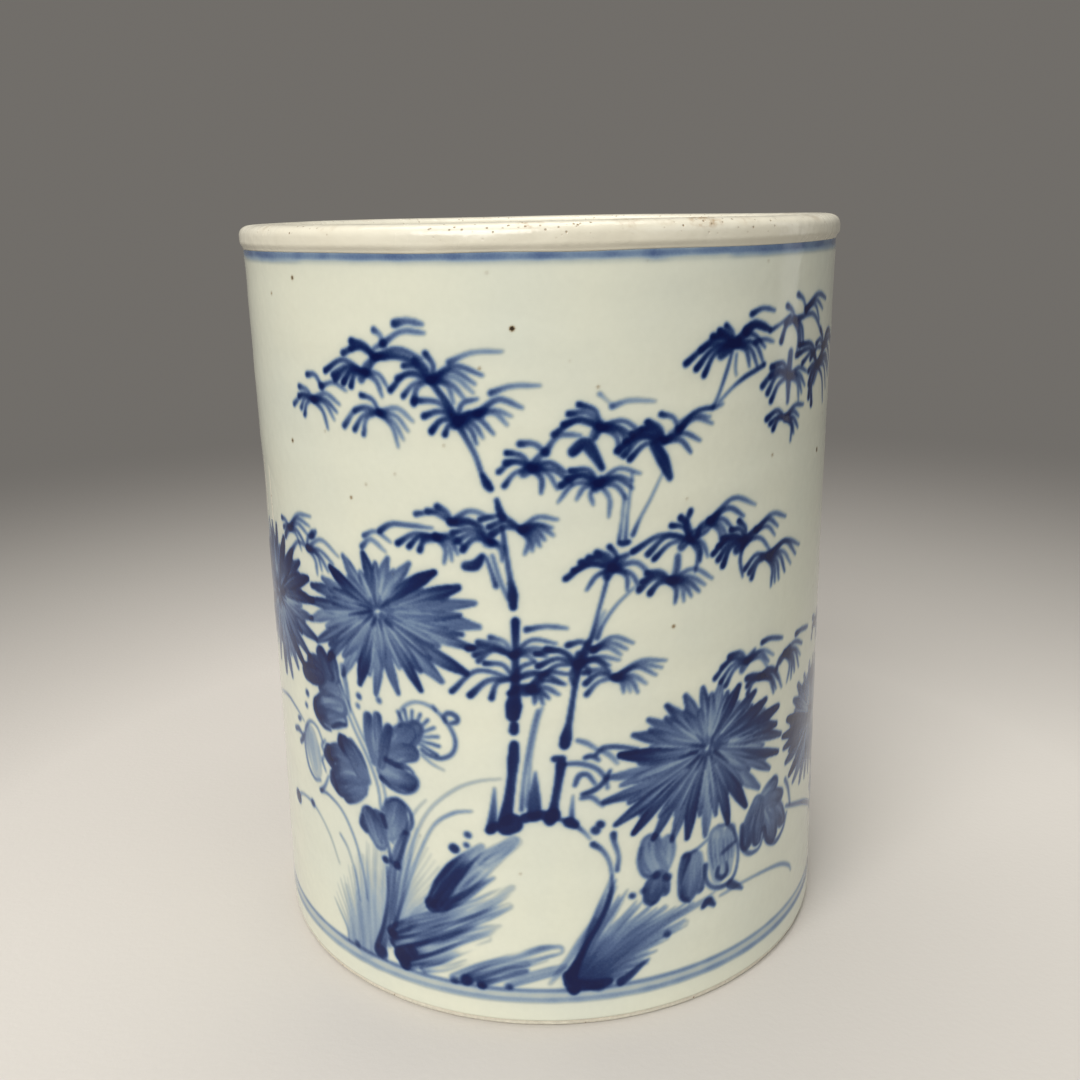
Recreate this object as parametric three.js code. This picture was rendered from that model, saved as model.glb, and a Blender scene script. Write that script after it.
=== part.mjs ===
// A cylindrical porcelain brush pot, as the potter puts it together: a thrown wall on a base
// slab and a foot ring, luted along the inside corner, then coated with glaze.
// Millimetres, +Z up, origin on the floor at the middle of the foot.

import * as THREE from 'three';

// ---- Driving dimensions ----

const HEIGHT = 129.6;            // floor to the crown of the lip
const BODY_RADIUS = 52.0;        // outside of the glazed wall, at the top
const FOOT_SPREAD = 1.0;         // extra radius of the glazed wall, at the floor
const WAIST = 0.4;               // how far the wall draws in halfway up

const WALL_THICKNESS = 3.8;      // fired clay
const BASE_THICKNESS = 6.0;      // fired clay
const GLAZE_THICKNESS = 0.4;     // on every glazed face

const RECESS_DEPTH = 6.4;        // floor to the underside of the base slab
const FOOT_WIDTH = 5.0;          // foot ring, inside to outside
const TREAD_BEVEL = 0.8;         // chamfer on both edges of the tread
const BARE_FOOT = 1.2;           // strip above the floor that is wiped free of glaze

const LUTING_RADIUS = 3.0;       // hollow fillet between the wall and the base slab

const LIP_DEPTH = 3.9;           // crown of the lip to where its coat ends
const LIP_ROUND = 2.3;           // height of the lip's rounded top, coat included
const LIP_COAT = 1.0;            // thickness of the coat on the lip

// ---- How finely curves are cut ----

const SEGMENTS = 60;             // facets round the pot
const WALL_STEPS = 4;            // spans of the wall between the fillet and the lip
const FILLET_STEPS = 4;
const LIP_STEPS = 6;

// ---- Levels and radii that the pieces share ----

const RECESS_ROOF = RECESS_DEPTH;
const FLOOR = RECESS_DEPTH + BASE_THICKNESS;
const FILLET_TOP = FLOOR + LUTING_RADIUS;
const LIP_BOTTOM = HEIGHT - LIP_DEPTH;
const LIP_SPRING = HEIGHT - LIP_ROUND;

// Outside of the glazed wall at height z: a slight spread to the foot and a shallow waist.
function glazeRadius(z) {
  const up = z / HEIGHT;
  return BODY_RADIUS + FOOT_SPREAD * (1 - up) - 4 * WAIST * up * (1 - up);
}

const clayRadius = (z) => glazeRadius(z) - GLAZE_THICKNESS;
const boreRadius = (z) => clayRadius(z) - WALL_THICKNESS;

// Heights at which every face of the wall has a ring of corners, from the fillet to the lip.
const wallLevels = [];
for (let i = 0; i <= WALL_STEPS; i++) {
  wallLevels.push(FILLET_TOP + (LIP_BOTTOM - FILLET_TOP) * (i / WALL_STEPS));
}

// ---- Profile helpers: lists of [radius, height], anticlockwise in the half plane ----

const at = (radius, levels) => levels.map((z) => [radius(z), z]);

// The hollow quarter circle of the inside corner, from the floor up to the bore.
function filletArc(coat) {
  const centreRadius = boreRadius(FILLET_TOP) - LUTING_RADIUS;
  const arcRadius = LUTING_RADIUS - coat;
  const points = [];
  for (let i = 0; i <= FILLET_STEPS; i++) {
    const angle = -Math.PI / 2 * (1 - i / FILLET_STEPS);
    points.push([centreRadius + arcRadius * Math.cos(angle), FILLET_TOP + arcRadius * Math.sin(angle)]);
  }
  return points;
}

// The rounded crown of the lip, from its outside over to its inside.
function lipArc(coat) {
  const middle = clayRadius(LIP_SPRING) - WALL_THICKNESS / 2;
  const halfWidth = WALL_THICKNESS / 2 + coat;
  const rise = LIP_ROUND - LIP_COAT + coat;
  const points = [];
  for (let i = 0; i <= LIP_STEPS; i++) {
    const angle = Math.PI * (i / LIP_STEPS);
    points.push([middle + halfWidth * Math.cos(angle), LIP_SPRING + rise * Math.sin(angle)]);
  }
  return points;
}

// ---- Materials ----

const fired = (color, roughness) => new THREE.MeshStandardMaterial({ color, roughness, metalness: 0 });

const bareClay = () => fired(0xcdbf9f, 0.8);
const clearGlaze = () => fired(0xd8dac6, 0.12);
const creamCoat = () => fired(0xe4dfcd, 0.18);

// ---- The pot ----

const pot = new THREE.Group();

// Turns a profile round the pot's upright axis. Two turned pieces whose profiles share
// points meet facet to facet, with no gap and no overlap.
function turn(name, profile, material) {
  const points = profile.map(([radius, z]) => new THREE.Vector2(radius, z));
  const geometry = new THREE.LatheGeometry(points, SEGMENTS);
  geometry.rotateX(Math.PI / 2);
  const mesh = new THREE.Mesh(geometry, material);
  mesh.name = name;
  pot.add(mesh);
}

const closed = (profile) => [...profile, profile[0]];

// The bare ring that the pot stands on, cut with a chamfer on both edges of its tread.
const footInside = clayRadius(RECESS_ROOF) - FOOT_WIDTH;
turn('foot_ring', closed([
  [footInside, BARE_FOOT],
  [footInside + TREAD_BEVEL, 0],
  [clayRadius(0) - TREAD_BEVEL, 0],
  [clayRadius(BARE_FOOT), BARE_FOOT],
  [clayRadius(RECESS_ROOF), RECESS_ROOF],
  [footInside, RECESS_ROOF],
]), bareClay());

// The disc that closes the bottom. It carries the wall and rests on the foot ring.
turn('base_slab', [
  [0, RECESS_ROOF],
  [clayRadius(RECESS_ROOF), RECESS_ROOF],
  [clayRadius(FLOOR), FLOOR],
  [0, FLOOR],
], bareClay());

// The thrown cylinder, with its top edge rounded over.
turn('thrown_wall', closed([
  [boreRadius(FLOOR), FLOOR],
  [clayRadius(FLOOR), FLOOR],
  ...at(clayRadius, wallLevels),
  ...lipArc(0),
  ...at(boreRadius, wallLevels).reverse(),
]), bareClay());

// The roll of clay that seals the wall to the slab, wiped to a hollow fillet.
turn('luting_coil', closed([
  [boreRadius(FLOOR), FLOOR],
  ...filletArc(0).reverse(),
]), bareClay());

// The clear coat outside, down to the bare strip of the foot.
const outsideLevels = [BARE_FOOT, RECESS_ROOF, FLOOR, ...wallLevels];
turn('outer_glaze', closed([
  ...at(glazeRadius, outsideLevels),
  ...at(clayRadius, outsideLevels).reverse(),
]), clearGlaze());

// The clear coat inside: over the floor, the fillet and the bore.
const liningRadius = (z) => boreRadius(z) - GLAZE_THICKNESS;
turn('inner_glaze', [
  [0, FLOOR],
  ...filletArc(0),
  ...at(boreRadius, wallLevels.slice(1)),
  ...at(liningRadius, wallLevels.slice(1)).reverse(),
  ...filletArc(GLAZE_THICKNESS).reverse(),
  [0, FLOOR + GLAZE_THICKNESS],
], clearGlaze());

// The clear coat in the recess: under the slab and down the inside of the foot ring.
turn('base_glaze', [
  [0, RECESS_ROOF - GLAZE_THICKNESS],
  [footInside - GLAZE_THICKNESS, RECESS_ROOF - GLAZE_THICKNESS],
  [footInside - GLAZE_THICKNESS, BARE_FOOT],
  [footInside, BARE_FOOT],
  [footInside, RECESS_ROOF],
  [0, RECESS_ROOF],
], clearGlaze());

// The thick cream coat over the lip. It thins to the glaze's own thickness at both edges.
turn('lip_dressing', closed([
  [glazeRadius(LIP_BOTTOM), LIP_BOTTOM],
  ...lipArc(LIP_COAT),
  [liningRadius(LIP_BOTTOM), LIP_BOTTOM],
  [boreRadius(LIP_BOTTOM), LIP_BOTTOM],
  ...lipArc(0).reverse(),
  [clayRadius(LIP_BOTTOM), LIP_BOTTOM],
]), creamCoat());

export default pot;
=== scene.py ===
# %% [markdown]
# # A blue and white brush pot
# The pot is a straight porcelain cylinder. A potter throws the wall, lays it on a base slab and
# a foot ring, paints it in cobalt on the raw body, dips it in clear glaze, and wipes a thick
# cream coat over the lip. This lesson makes the pieces that show, in that order, round the
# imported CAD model. The CAD model is in metres here and stands on the floor at z = 0.

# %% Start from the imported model
import math

import bmesh
import bpy
import numpy as np
from mathutils import Matrix, Vector


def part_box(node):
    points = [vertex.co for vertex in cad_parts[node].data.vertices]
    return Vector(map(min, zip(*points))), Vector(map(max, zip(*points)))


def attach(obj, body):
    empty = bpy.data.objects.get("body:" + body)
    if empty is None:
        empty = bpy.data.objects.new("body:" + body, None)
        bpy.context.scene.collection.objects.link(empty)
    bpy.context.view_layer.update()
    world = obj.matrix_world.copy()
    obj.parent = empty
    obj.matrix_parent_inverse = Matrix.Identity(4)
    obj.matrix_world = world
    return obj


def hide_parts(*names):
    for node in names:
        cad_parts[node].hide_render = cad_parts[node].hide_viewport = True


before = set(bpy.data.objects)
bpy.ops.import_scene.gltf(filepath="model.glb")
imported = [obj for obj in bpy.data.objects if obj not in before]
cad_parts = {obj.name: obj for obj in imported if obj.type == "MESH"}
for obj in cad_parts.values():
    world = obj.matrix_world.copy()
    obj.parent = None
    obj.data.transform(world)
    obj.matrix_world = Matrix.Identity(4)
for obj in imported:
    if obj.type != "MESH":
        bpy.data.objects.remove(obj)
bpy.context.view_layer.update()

MM = 0.001

# %% [markdown]
# ## Sizes, read from the CAD pieces
# The levels come from the boxes of the CAD nodes. A box doesn't show a wall's thickness or its
# radius halfway up, so those repeat the driving dimensions of the part. The wall isn't a true
# cylinder. It spreads a little towards the foot and draws in slightly halfway up, as a thrown
# cylinder does when it dries on its foot.


# %% Levels and radii in millimetres
def span(node):
    """The lowest and highest corner of a CAD node, in millimetres."""
    low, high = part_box(node)
    return np.array(low) / MM, np.array(high) / MM


HEIGHT = span("lip_dressing")[1][2]
LIP_BOTTOM = span("lip_dressing")[0][2]
BARE_FOOT = span("outer_glaze")[0][2]
RECESS_ROOF = span("base_slab")[0][2]
FLOOR = span("base_slab")[1][2]
FILLET = span("luting_coil")[1][2] - FLOOR

BODY_RADIUS = 52.0
FOOT_SPREAD = 1.0
WAIST = 0.4
WALL = 3.8
GLAZE = 0.4
FOOT_WIDTH = 5.0
TREAD_BEVEL = 0.8
LIP_ROUND = 2.3
LIP_COAT = 1.0


def glaze_radius(z):
    up = np.asarray(z) / HEIGHT
    return BODY_RADIUS + FOOT_SPREAD * (1 - up) - 4 * WAIST * up * (1 - up)


def clay_radius(z):
    return glaze_radius(z) - GLAZE


def bore_radius(z):
    return clay_radius(z) - WALL


print("height", HEIGHT, "lip bottom", LIP_BOTTOM, "floor", FLOOR, "recess", RECESS_ROOF)

# %% [markdown]
# ## The hand of the potter
# A thrown wall is never quite round. The fingers leave soft rings, drying leaves it a little oval,
# and this pot has one shallow dent where it was lifted. One function gives that unevenness to
# every coat, so that the coats stay on each other. It is about a tenth of a millimetre, and a
# third of one in the dent: enough to bend a reflection.


# %% Unevenness of the wall
DENT_TURN = -1.19
DENT_HEIGHT = 84.0
DENT_WIDTH = 9.0
DENT_TALL = 7.0
DENT_DEPTH = 0.35


def unevenness(turn, z):
    """How far the wall stands out of its true shape at an angle and a height, in millimetres."""
    up = z / HEIGHT
    oval = 0.07 * np.sin(2 * turn + 0.7) * up + 0.04 * np.sin(3 * turn + 2.1)
    rings = 0.028 * np.sin(2 * np.pi * z / 11.0 + turn)
    rings = rings + 0.016 * np.sin(2 * np.pi * z / 6.3 - 2 * turn + 1.0)
    aside = ((turn - DENT_TURN + np.pi) % (2 * np.pi) - np.pi) * BODY_RADIUS
    dent = -DENT_DEPTH * np.exp(-((aside / DENT_WIDTH) ** 2) - ((z - DENT_HEIGHT) / DENT_TALL) ** 2)
    return oval + rings + dent - 0.1


# %% [markdown]
# ## Turning a profile
# Each coat is a turned shape, so one helper revolves a closed profile into a mesh of quads. The
# mesh is made straight from arrays of corners. That is quicker than a Screw modifier, and the
# unevenness can be added to each corner before the mesh exists.


# %% Turned pieces
def corner(radius, turn, z):
    """A corner of the mesh in metres. Turn 0 is the front of the pot, at -Y, and grows towards +X."""
    return np.stack([radius * np.sin(turn), -radius * np.cos(turn), z + 0 * radius], -1) * MM


def link(name, mesh):
    piece = bpy.data.objects.new(name, mesh)
    bpy.context.scene.collection.objects.link(piece)
    mesh.shade_smooth()
    return piece


def turned(name, profile, steps=360, uneven=None, on_axis=False):
    """Revolve a profile of (radius, height) that runs anticlockwise in the half plane."""
    profile = np.array(profile, float)
    turn = 2 * np.pi * np.arange(steps) / steps
    radius = profile[:, 0][None, :] + 0 * turn[:, None]
    z = profile[:, 1][None, :] + 0 * turn[:, None]
    if uneven is not None:
        shift_r, shift_z = uneven(radius, turn[:, None], z)
        radius, z = radius + shift_r, z + shift_z
    points = corner(radius, turn[:, None] + 0 * radius, z).reshape(-1, 3)
    rows = len(profile)
    spans = range(rows - 1) if on_axis else range(rows)
    faces = []
    for i in range(steps):
        here, there = i * rows, (i + 1) % steps * rows
        for k in spans:
            after = (k + 1) % rows
            faces.append((here + k, there + k, there + after, here + after))
    mesh = bpy.data.meshes.new(name)
    mesh.from_pydata(points.tolist(), [], faces)
    if on_axis:
        weld_axis(mesh, rows)
    mesh.validate()
    mesh.update()
    print(name, len(mesh.vertices), "corners", len(mesh.polygons), "faces")
    return link(name, mesh)


def weld_axis(mesh, rows):
    """Join the corners that lie on the pot's axis, so that a disc closes at its middle."""
    work = bmesh.new()
    work.from_mesh(mesh)
    on_axis = [v for v in work.verts if math.hypot(v.co.x, v.co.y) < 1e-6]
    bmesh.ops.remove_doubles(work, verts=on_axis, dist=1e-6)
    work.to_mesh(mesh)
    work.free()


def arc(centre, radius_x, radius_z, start, end, count):
    """Points on an arc of an ellipse, from one angle in degrees to another."""
    turn = np.radians(np.linspace(start, end, count))
    return [(centre[0] + radius_x * math.cos(a), centre[1] + radius_z * math.sin(a)) for a in turn]


def along(radius, low, high, count):
    """Points up a wall whose radius is a function of the height."""
    return [(float(radius(z)), float(z)) for z in np.linspace(low, high, count)]

# %% [markdown]
# ## The wall laid flat
# The painter works with a brush and one pigment, cobalt, ground in water. What makes it look
# painted is how dense each stroke is: a loaded brush leaves nearly black blue, a wet one leaves a
# pale wash, and where strokes cross the blue gets deeper. So the painting is made here as one
# field of density over the wall laid flat, and each stroke adds to it. x runs round the wall in
# millimetres from the middle of the front, and z is the height. Later the field goes onto the
# corners of the wall's mesh, and the material turns density into colour. No picture is involved.

# %% A field of cobalt over the wall
ROUND = 2 * math.pi * BODY_RADIUS
BLOCK = 16
COLUMNS = 82 * BLOCK
CELLS_UP = 31 * BLOCK
PITCH_X = ROUND / COLUMNS
PITCH_Z = (LIP_BOTTOM - BARE_FOOT) / CELLS_UP
cobalt = np.zeros((CELLS_UP + 1, COLUMNS))
hand = np.random.default_rng(11)
print("paint cells of", round(PITCH_X, 3), "by", round(PITCH_Z, 3), "mm")


# %% Noise and edges
GRAIN = hand.random((64, 64))


def noise(u, v):
    """Smooth random values between 0 and 1 that repeat every 64 units."""
    iu, iv = np.floor(u).astype(int), np.floor(v).astype(int)
    fu, fv = u - iu, v - iv
    fu, fv = fu * fu * (3 - 2 * fu), fv * fv * (3 - 2 * fv)
    low = GRAIN[iu % 64, iv % 64] * (1 - fu) + GRAIN[(iu + 1) % 64, iv % 64] * fu
    high = GRAIN[iu % 64, (iv + 1) % 64] * (1 - fu) + GRAIN[(iu + 1) % 64, (iv + 1) % 64] * fu
    return low * (1 - fv) + high * fv


def soft_step(x):
    x = np.clip(x, 0, 1)
    return x * x * (3 - 2 * x)


def window(low_x, high_x, low_z, high_z):
    """The rows and columns of the field inside a box, with their places on the wall."""
    first, last = (low_x + ROUND / 2) / PITCH_X, (high_x + ROUND / 2) / PITCH_X
    columns = np.arange(math.floor(first), math.ceil(last) + 1)
    first, last = (low_z - BARE_FOOT) / PITCH_Z, (high_z - BARE_FOOT) / PITCH_Z
    rows = np.arange(max(0, math.floor(first)), min(CELLS_UP, math.ceil(last)) + 1)
    return rows, columns, columns * PITCH_X - ROUND / 2, BARE_FOOT + rows * PITCH_Z


def lay(layer, rows, columns, ink, mode):
    """Put ink on the field: add it, keep the denser of the two, or lift some off."""
    at = np.ix_(rows, columns % COLUMNS)
    if mode == "max":
        layer[at] = np.maximum(layer[at], ink)
    elif mode == "lift":
        layer[at] = layer[at] * (1 - np.clip(ink, 0, 1))
    else:
        layer[at] = layer[at] + ink


# %% [markdown]
# ## One stroke of the brush
# A stroke follows a smooth path through a few points. It has a width and a density that change
# along it, hairs that leave fine streaks, and an edge that dries darker than its middle. The
# distance from each point of the field to the path gives all of these at once.


# %% Stroke, dab and place
def smooth_path(points, step=0.45):
    """A Catmull-Rom curve through the points, cut into even steps, and how far along each point is."""
    p = np.array(points, float)
    ends = np.vstack([2 * p[0] - p[1], p, 2 * p[-1] - p[-2]])
    t = np.linspace(0, 1, 12, endpoint=False)[:, None]
    spans = []
    for a, b, c, d in zip(ends, ends[1:], ends[2:], ends[3:]):
        bend = (2 * a - 5 * b + 4 * c - d) * t**2 + (3 * b - a - 3 * c + d) * t**3
        spans.append(0.5 * (2 * b + (c - a) * t + bend))
    fine = np.vstack(spans + [p[-1:]])
    run = np.r_[0, np.cumsum(np.hypot(*np.diff(fine, axis=0).T))]
    at = np.linspace(0, run[-1], max(3, int(run[-1] / step) + 1))
    return np.column_stack([np.interp(at, run, fine[:, i]) for i in (0, 1)]), run[::12]


def spread_along(stations, run, values):
    """A width or a density between its given values: one for each point, or spread out evenly."""
    matched = len(values) == len(stations)
    at = stations / stations[-1] if matched else np.linspace(0, 1, len(values))
    return np.interp(run, at, values)


def stroke(layer, points, wide, ink, soft=0.3, rim=0.2, grain=0.25, hairs=0.35, dry=0.0, mode="add"):
    """Paint along the points. wide is the half-width and ink the density, at each of them."""
    path, stations = smooth_path(points)
    length = stations[-1]
    wide, ink = np.atleast_1d(wide).astype(float), np.atleast_1d(ink).astype(float)
    reach = wide.max() + soft
    low, high = path.min(0) - reach, path.max(0) + reach
    rows, columns, x, z = window(low[0], high[0], low[1], high[1])
    if not len(rows):
        return
    start, step = path[:-1], np.diff(path, axis=0)
    px, pz = x[None, :, None] - start[:, 0], z[:, None, None] - start[:, 1]
    t = np.clip((px * step[:, 0] + pz * step[:, 1]) / np.maximum((step**2).sum(1), 1e-9), 0, 1)
    dx, dz = px - t * step[:, 0], pz - t * step[:, 1]
    gap = dx**2 + dz**2
    nearest = gap.argmin(-1)[..., None]

    def at_nearest(values):
        return np.take_along_axis(values, nearest, -1)[..., 0]

    away = np.sqrt(at_nearest(gap))
    side = np.sign(at_nearest(dx * step[:, 1] - dz * step[:, 0])) * away
    run = (nearest[..., 0] + at_nearest(t)) / len(step)
    half = spread_along(stations, run, wide)
    density = spread_along(stations, run, ink)
    u, v = hand.random(2) * 64
    streak = noise(side / hairs + u, run * length / 5 + v)
    cover = soft_step((half - away) / soft + 0.5)
    if dry:
        cover = cover * soft_step((streak - dry * run**1.5) * 4 + 0.6)
    edge = np.clip(away / np.maximum(half, 0.05), 0, 1) ** 4
    lay(layer, rows, columns, cover * density * (1 + rim * edge) * (1 + grain * (2 * streak - 1)), mode)


def dab(layer, place, x, z, size, ink):
    """The brush set down and lifted."""
    points = [(x - 0.15 * size, z + 0.1 * size), (x + 0.15 * size, z - 0.1 * size)]
    stroke(layer, placed(points, place), size * 0.9, ink, soft=0.5)


def placed(points, place):
    """Points of a motif, moved round the wall to where it is painted."""
    return [(place + x, z) for x, z in points]


# %% [markdown]
# ## Bamboo
# Bamboo leaves are single strokes. The painter sets the tip of the brush down, presses, and lifts
# it, so a leaf is blunt and dark where it starts and thin where it ends. Several leaves meet at a
# knot on the twig. Some start outside and are pulled in to the knot, here called heads, and some
# are pulled out from it, here called tails. All of them arch upward first, like the real leaves.


# %% Leaves of the bamboo
def bamboo_leaf(layer, place, points, ink=2.4, wide=0.5):
    ink = ink * hand.uniform(0.7, 1.0)
    wide = wide * hand.uniform(0.55, 0.75)
    widths = [wide * 1.2, wide, wide * 0.95, wide * 0.95, wide * 0.5]
    inks = [ink * 1.7, ink * 0.95, ink * 0.75, ink * 0.75, ink * 0.75]
    stroke(layer, placed(points, place), widths, inks, rim=0.45, grain=0.3)


def fuller(knot, tips):
    """The tips of a fan of leaves, with shorter leaves added where two of them leave a gap."""
    tips = sorted(tips, key=lambda tip: math.atan2(tip[1] - knot[1], abs(tip[0] - knot[0])))
    more = []
    for one, other in zip(tips, tips[1:]):
        if 2.3 < math.dist(one, other) < 7.0:
            reach = hand.uniform(0.85, 1.05)
            more.append((
                knot[0] + ((one[0] + other[0]) / 2 - knot[0]) * reach,
                knot[1] + ((one[1] + other[1]) / 2 - knot[1]) * reach))
    return tips + more


def spray(layer, place, knot, heads, tails, ink):
    for tips, outward in ((heads, False), (tails, True)):
        for tip in fuller(knot, tips):
            run, rise = tip[0] - knot[0], tip[1] - knot[1]
            bend = hand.uniform(0.14, 0.26)
            aside = -bend * rise * math.copysign(1, run)
            middle = (knot[0] + run / 2 + aside, knot[1] + rise / 2 + bend * abs(run))
            line = [knot, middle, tip] if outward else [tip, middle, knot]
            bamboo_leaf(layer, place, line, ink if outward else ink * 1.15)
    dab(layer, place, knot[0], knot[1], 0.6, ink)

# %% Bamboo, as it is set out on the wall
SPRAYS = [
    # knot, heads, tails, ink
    ((-38.8, 103.7), [(-44.3, 102.4), (-42.3, 105.3), (-41.3, 101.0)],
     [(-32.6, 103.4), (-34.0, 101.0), (-35.6, 99.4)], 2.0),
    ((-36.5, 105.9), [(-39.9, 107.4)], [(-31.0, 105.6)], 1.8),
    ((-25.0, 102.8), [(-31.9, 100.3), (-28.1, 99.3), (-28.2, 105.2)],
     [(-19.2, 101.8), (-20.1, 100.3), (-22.0, 97.8)], 1.8),
    ((-27.2, 108.6), [(-35.4, 108.3), (-33.2, 107.2), (-30.0, 106.4)], [(-23.2, 106.5), (-24.3, 105.2)],
     2.6),
    ((-25.2, 110.9), [(-31.2, 111.2), (-29.4, 113.0)], [(-15.8, 107.6), (-17.3, 110.9)], 2.6),
    ((-23.6, 112.9), [(-25.1, 114.8)], [(-16.8, 114.6), (-26.0, 110.0)], 1.8),
    ((-16.3, 107.9), [(-22.8, 106.2), (-19.0, 104.5), (-20.4, 109.8), (-16.8, 111.7)],
     [(-8.4, 108.7), (-9.8, 106.2), (-12.8, 104.7)], 2.2),
    ((-12.3, 102.2), [(-16.4, 100.5), (-14.3, 100.1), (-19.0, 104.9)],
     [(-9.2, 105.4), (-9.6, 98.8), (-7.0, 100.3)], 2.6),
    ((-9.3, 103.3), [(-12.4, 101.5)], [(-2.8, 104.1), (-5.0, 101.6)], 2.2),
    ((-16.5, 84.6), [(-23.0, 83.0), (-19.2, 82.3)], [(-14.0, 81.0), (-15.3, 80.5), (-12.0, 83.2)], 2.5),
    ((-14.0, 87.0), [(-19.6, 87.9), (-16.0, 89.3)], [(-7.6, 87.8), (-9.0, 85.2)], 1.9),
    ((-8.0, 84.3), [(-12.3, 82.8), (-13.8, 85.4), (-13.2, 86.8)], [(-5.8, 83.2), (-6.3, 81.3)], 2.2),
    ((-3.4, 86.2), [(-9.5, 87.6), (-7.8, 85.4)], [(1.3, 85.2), (2.0, 87.6), (-0.7, 83.6), (-3.0, 82.4)],
     2.2),
    ((-5.2, 66.4), [(-8.5, 69.3), (-12.0, 67.2), (-10.5, 65.3)], [(1.5, 68.3), (0.0, 66.2), (-1.4, 65.0)],
     2.1),
    ((-5.0, 62.6), [(-15.0, 59.9), (-8.6, 59.3), (-9.5, 65.0)], [(-1.8, 65.4), (2.8, 61.6)], 2.4),
    ((-2.8, 61.0), [(-5.8, 60.2)], [(1.8, 60.0), (-0.7, 58.4), (-2.0, 58.6), (3.2, 63.3)], 2.8),
    ((4.6, 64.8), [(-1.6, 66.7), (0.0, 67.5), (-1.0, 62.7)], [(11.2, 65.0), (9.6, 63.3), (3.9, 61.5)], 2.6),
    ((7.0, 67.0), [(3.2, 68.0)], [(13.4, 67.5), (11.4, 65.8)], 2.1),
    ((10.4, 62.2), [(6.0, 59.8), (5.6, 63.4)], [(18.8, 63.9), (17.2, 61.7), (11.8, 59.6), (14.1, 59.3)],
     2.1),
    ((-1.8, 95.4), [(-6.5, 94.8), (-5.7, 92.7), (-5.2, 97.6)], [(4.2, 92.8), (3.2, 94.6), (-0.4, 91.6)],
     2.6),
    ((0.3, 97.6), [(-3.3, 98.9)], [(5.4, 100.0)], 2.2),
    ((8.2, 101.0), [(1.6, 100.2), (3.8, 103.1), (5.2, 104.4)], [(14.6, 99.7), (12.7, 98.2), (11.1, 96.7)],
     2.9),
    ((8.0, 92.8), [(2.5, 92.7), (3.9, 94.8)],
     [(2.0, 90.2), (4.7, 90.5), (13.2, 91.7), (14.4, 93.8), (12.2, 90.2), (9.5, 87.6)], 2.3),
    ((18.0, 98.4), [(12.7, 96.0), (10.8, 97.4), (13.0, 99.8), (15.4, 101.3)],
     [(22.6, 96.2), (24.2, 97.8)], 2.9),
    ((20.4, 99.8), [(17.5, 102.3)], [(26.4, 100.1), (26.6, 102.6)], 2.1),
    ((29.9, 111.5), [(21.4, 109.3), (24.6, 107.4), (26.0, 112.9), (28.4, 114.3)],
     [(33.4, 107.9), (36.7, 107.8), (38.0, 113.0)], 3.6),
    ((44.6, 113.9), [(40.8, 111.0), (42.2, 116.2)], [(56.9, 110.0), (47.7, 110.0), (45.6, 108.4)], 2.8),
    ((48.3, 115.2), [(45.3, 117.7)], [(54.6, 113.1), (58.2, 116.2)], 2.2),
    ((43.6, 105.4), [(36.5, 104.6), (38.6, 107.3), (38.7, 102.1)],
     [(50.0, 105.3), (49.2, 103.2), (47.0, 101.0)], 2.4),
    ((42.9, 98.9), [(37.8, 99.4), (39.6, 97.6)], [(47.3, 96.7), (44.9, 94.8), (49.0, 100.2)], 2.9),
    ((54.6, 106.0), [(51.0, 101.0), (52.4, 99.7), (45.6, 108.4), (46.4, 109.9), (50.6, 105.3)],
     [(59.5, 98.9), (64.0, 102.9), (66.0, 105.0)], 2.9),
    ((57.5, 108.3), [(51.2, 107.2), (55.5, 111.5)], [(65.0, 110.2), (67.5, 107.6), (62.5, 111.0)], 2.5),
    ((10.1, 79.7), [(3.0, 78.5), (5.3, 80.9), (7.7, 82.3), (9.6, 83.1)],
     [(6.1, 76.6), (16.3, 77.8), (14.4, 75.9), (12.4, 76.0)], 2.9),
    ((22.6, 82.9), [(13.2, 82.0), (16.6, 80.5), (19.4, 85.4), (22.7, 87.2)], [(23.7, 77.5), (26.0, 79.6)],
     3.1),
    ((26.2, 85.2), [(24.0, 83.2)], [(30.7, 83.4), (28.7, 80.4), (35.9, 86.2)], 2.6),
    ((19.3, 76.8), [(14.2, 75.9), (16.0, 75.2), (15.4, 78.4)],
     [(20.2, 73.0), (21.8, 73.1), (24.6, 74.2), (27.0, 75.9)], 2.4),
    ((33.6, 80.9), [(27.0, 79.8), (29.0, 77.6), (28.8, 82.0), (32.2, 84.2)], [(33.4, 74.9), (40.0, 77.8)],
     3.1),
    ((36.2, 82.0), [(33.0, 79.8)], [(41.3, 80.1), (44.4, 82.6)], 2.3),
    ((39.2, 77.0), [(33.8, 76.1), (35.5, 74.2)], [(40.6, 71.6), (42.9, 72.2), (46.9, 73.9), (49.9, 76.5)],
     2.6),
    ((34.9, 60.2), [(27.9, 59.0), (30.9, 62.0), (30.2, 57.2)], [(42.2, 59.2), (40.6, 57.4)], 2.3),
    ((38.2, 56.5), [(35.0, 57.2), (35.3, 54.4)], [(45.2, 52.4), (42.6, 52.2), (43.6, 56.0)], 2.7),
    ((45.8, 58.3), [(43.2, 56.4)], [(53.3, 57.7), (52.0, 53.7), (48.6, 52.7), (47.0, 52.6)], 2.6),
    ((-49.8, 81.0), [(-53.3, 82.0), (-52.0, 79.0)], [(-42.0, 84.5), (-42.8, 81.0), (-45.8, 78.0)], 2.0),
    ((-43.6, 78.9), [(-49.3, 77.4), (-41.8, 81.4)],
     [(-35.2, 79.0), (-39.8, 75.8), (-41.2, 74.9), (-38.1, 76.0)], 1.9),
    ((62.5, 58.5), [(60.2, 60.0), (59.8, 56.5)], [(70.5, 57.5), (67.0, 54.5), (64.0, 54.0)], 2.5),
]

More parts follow.
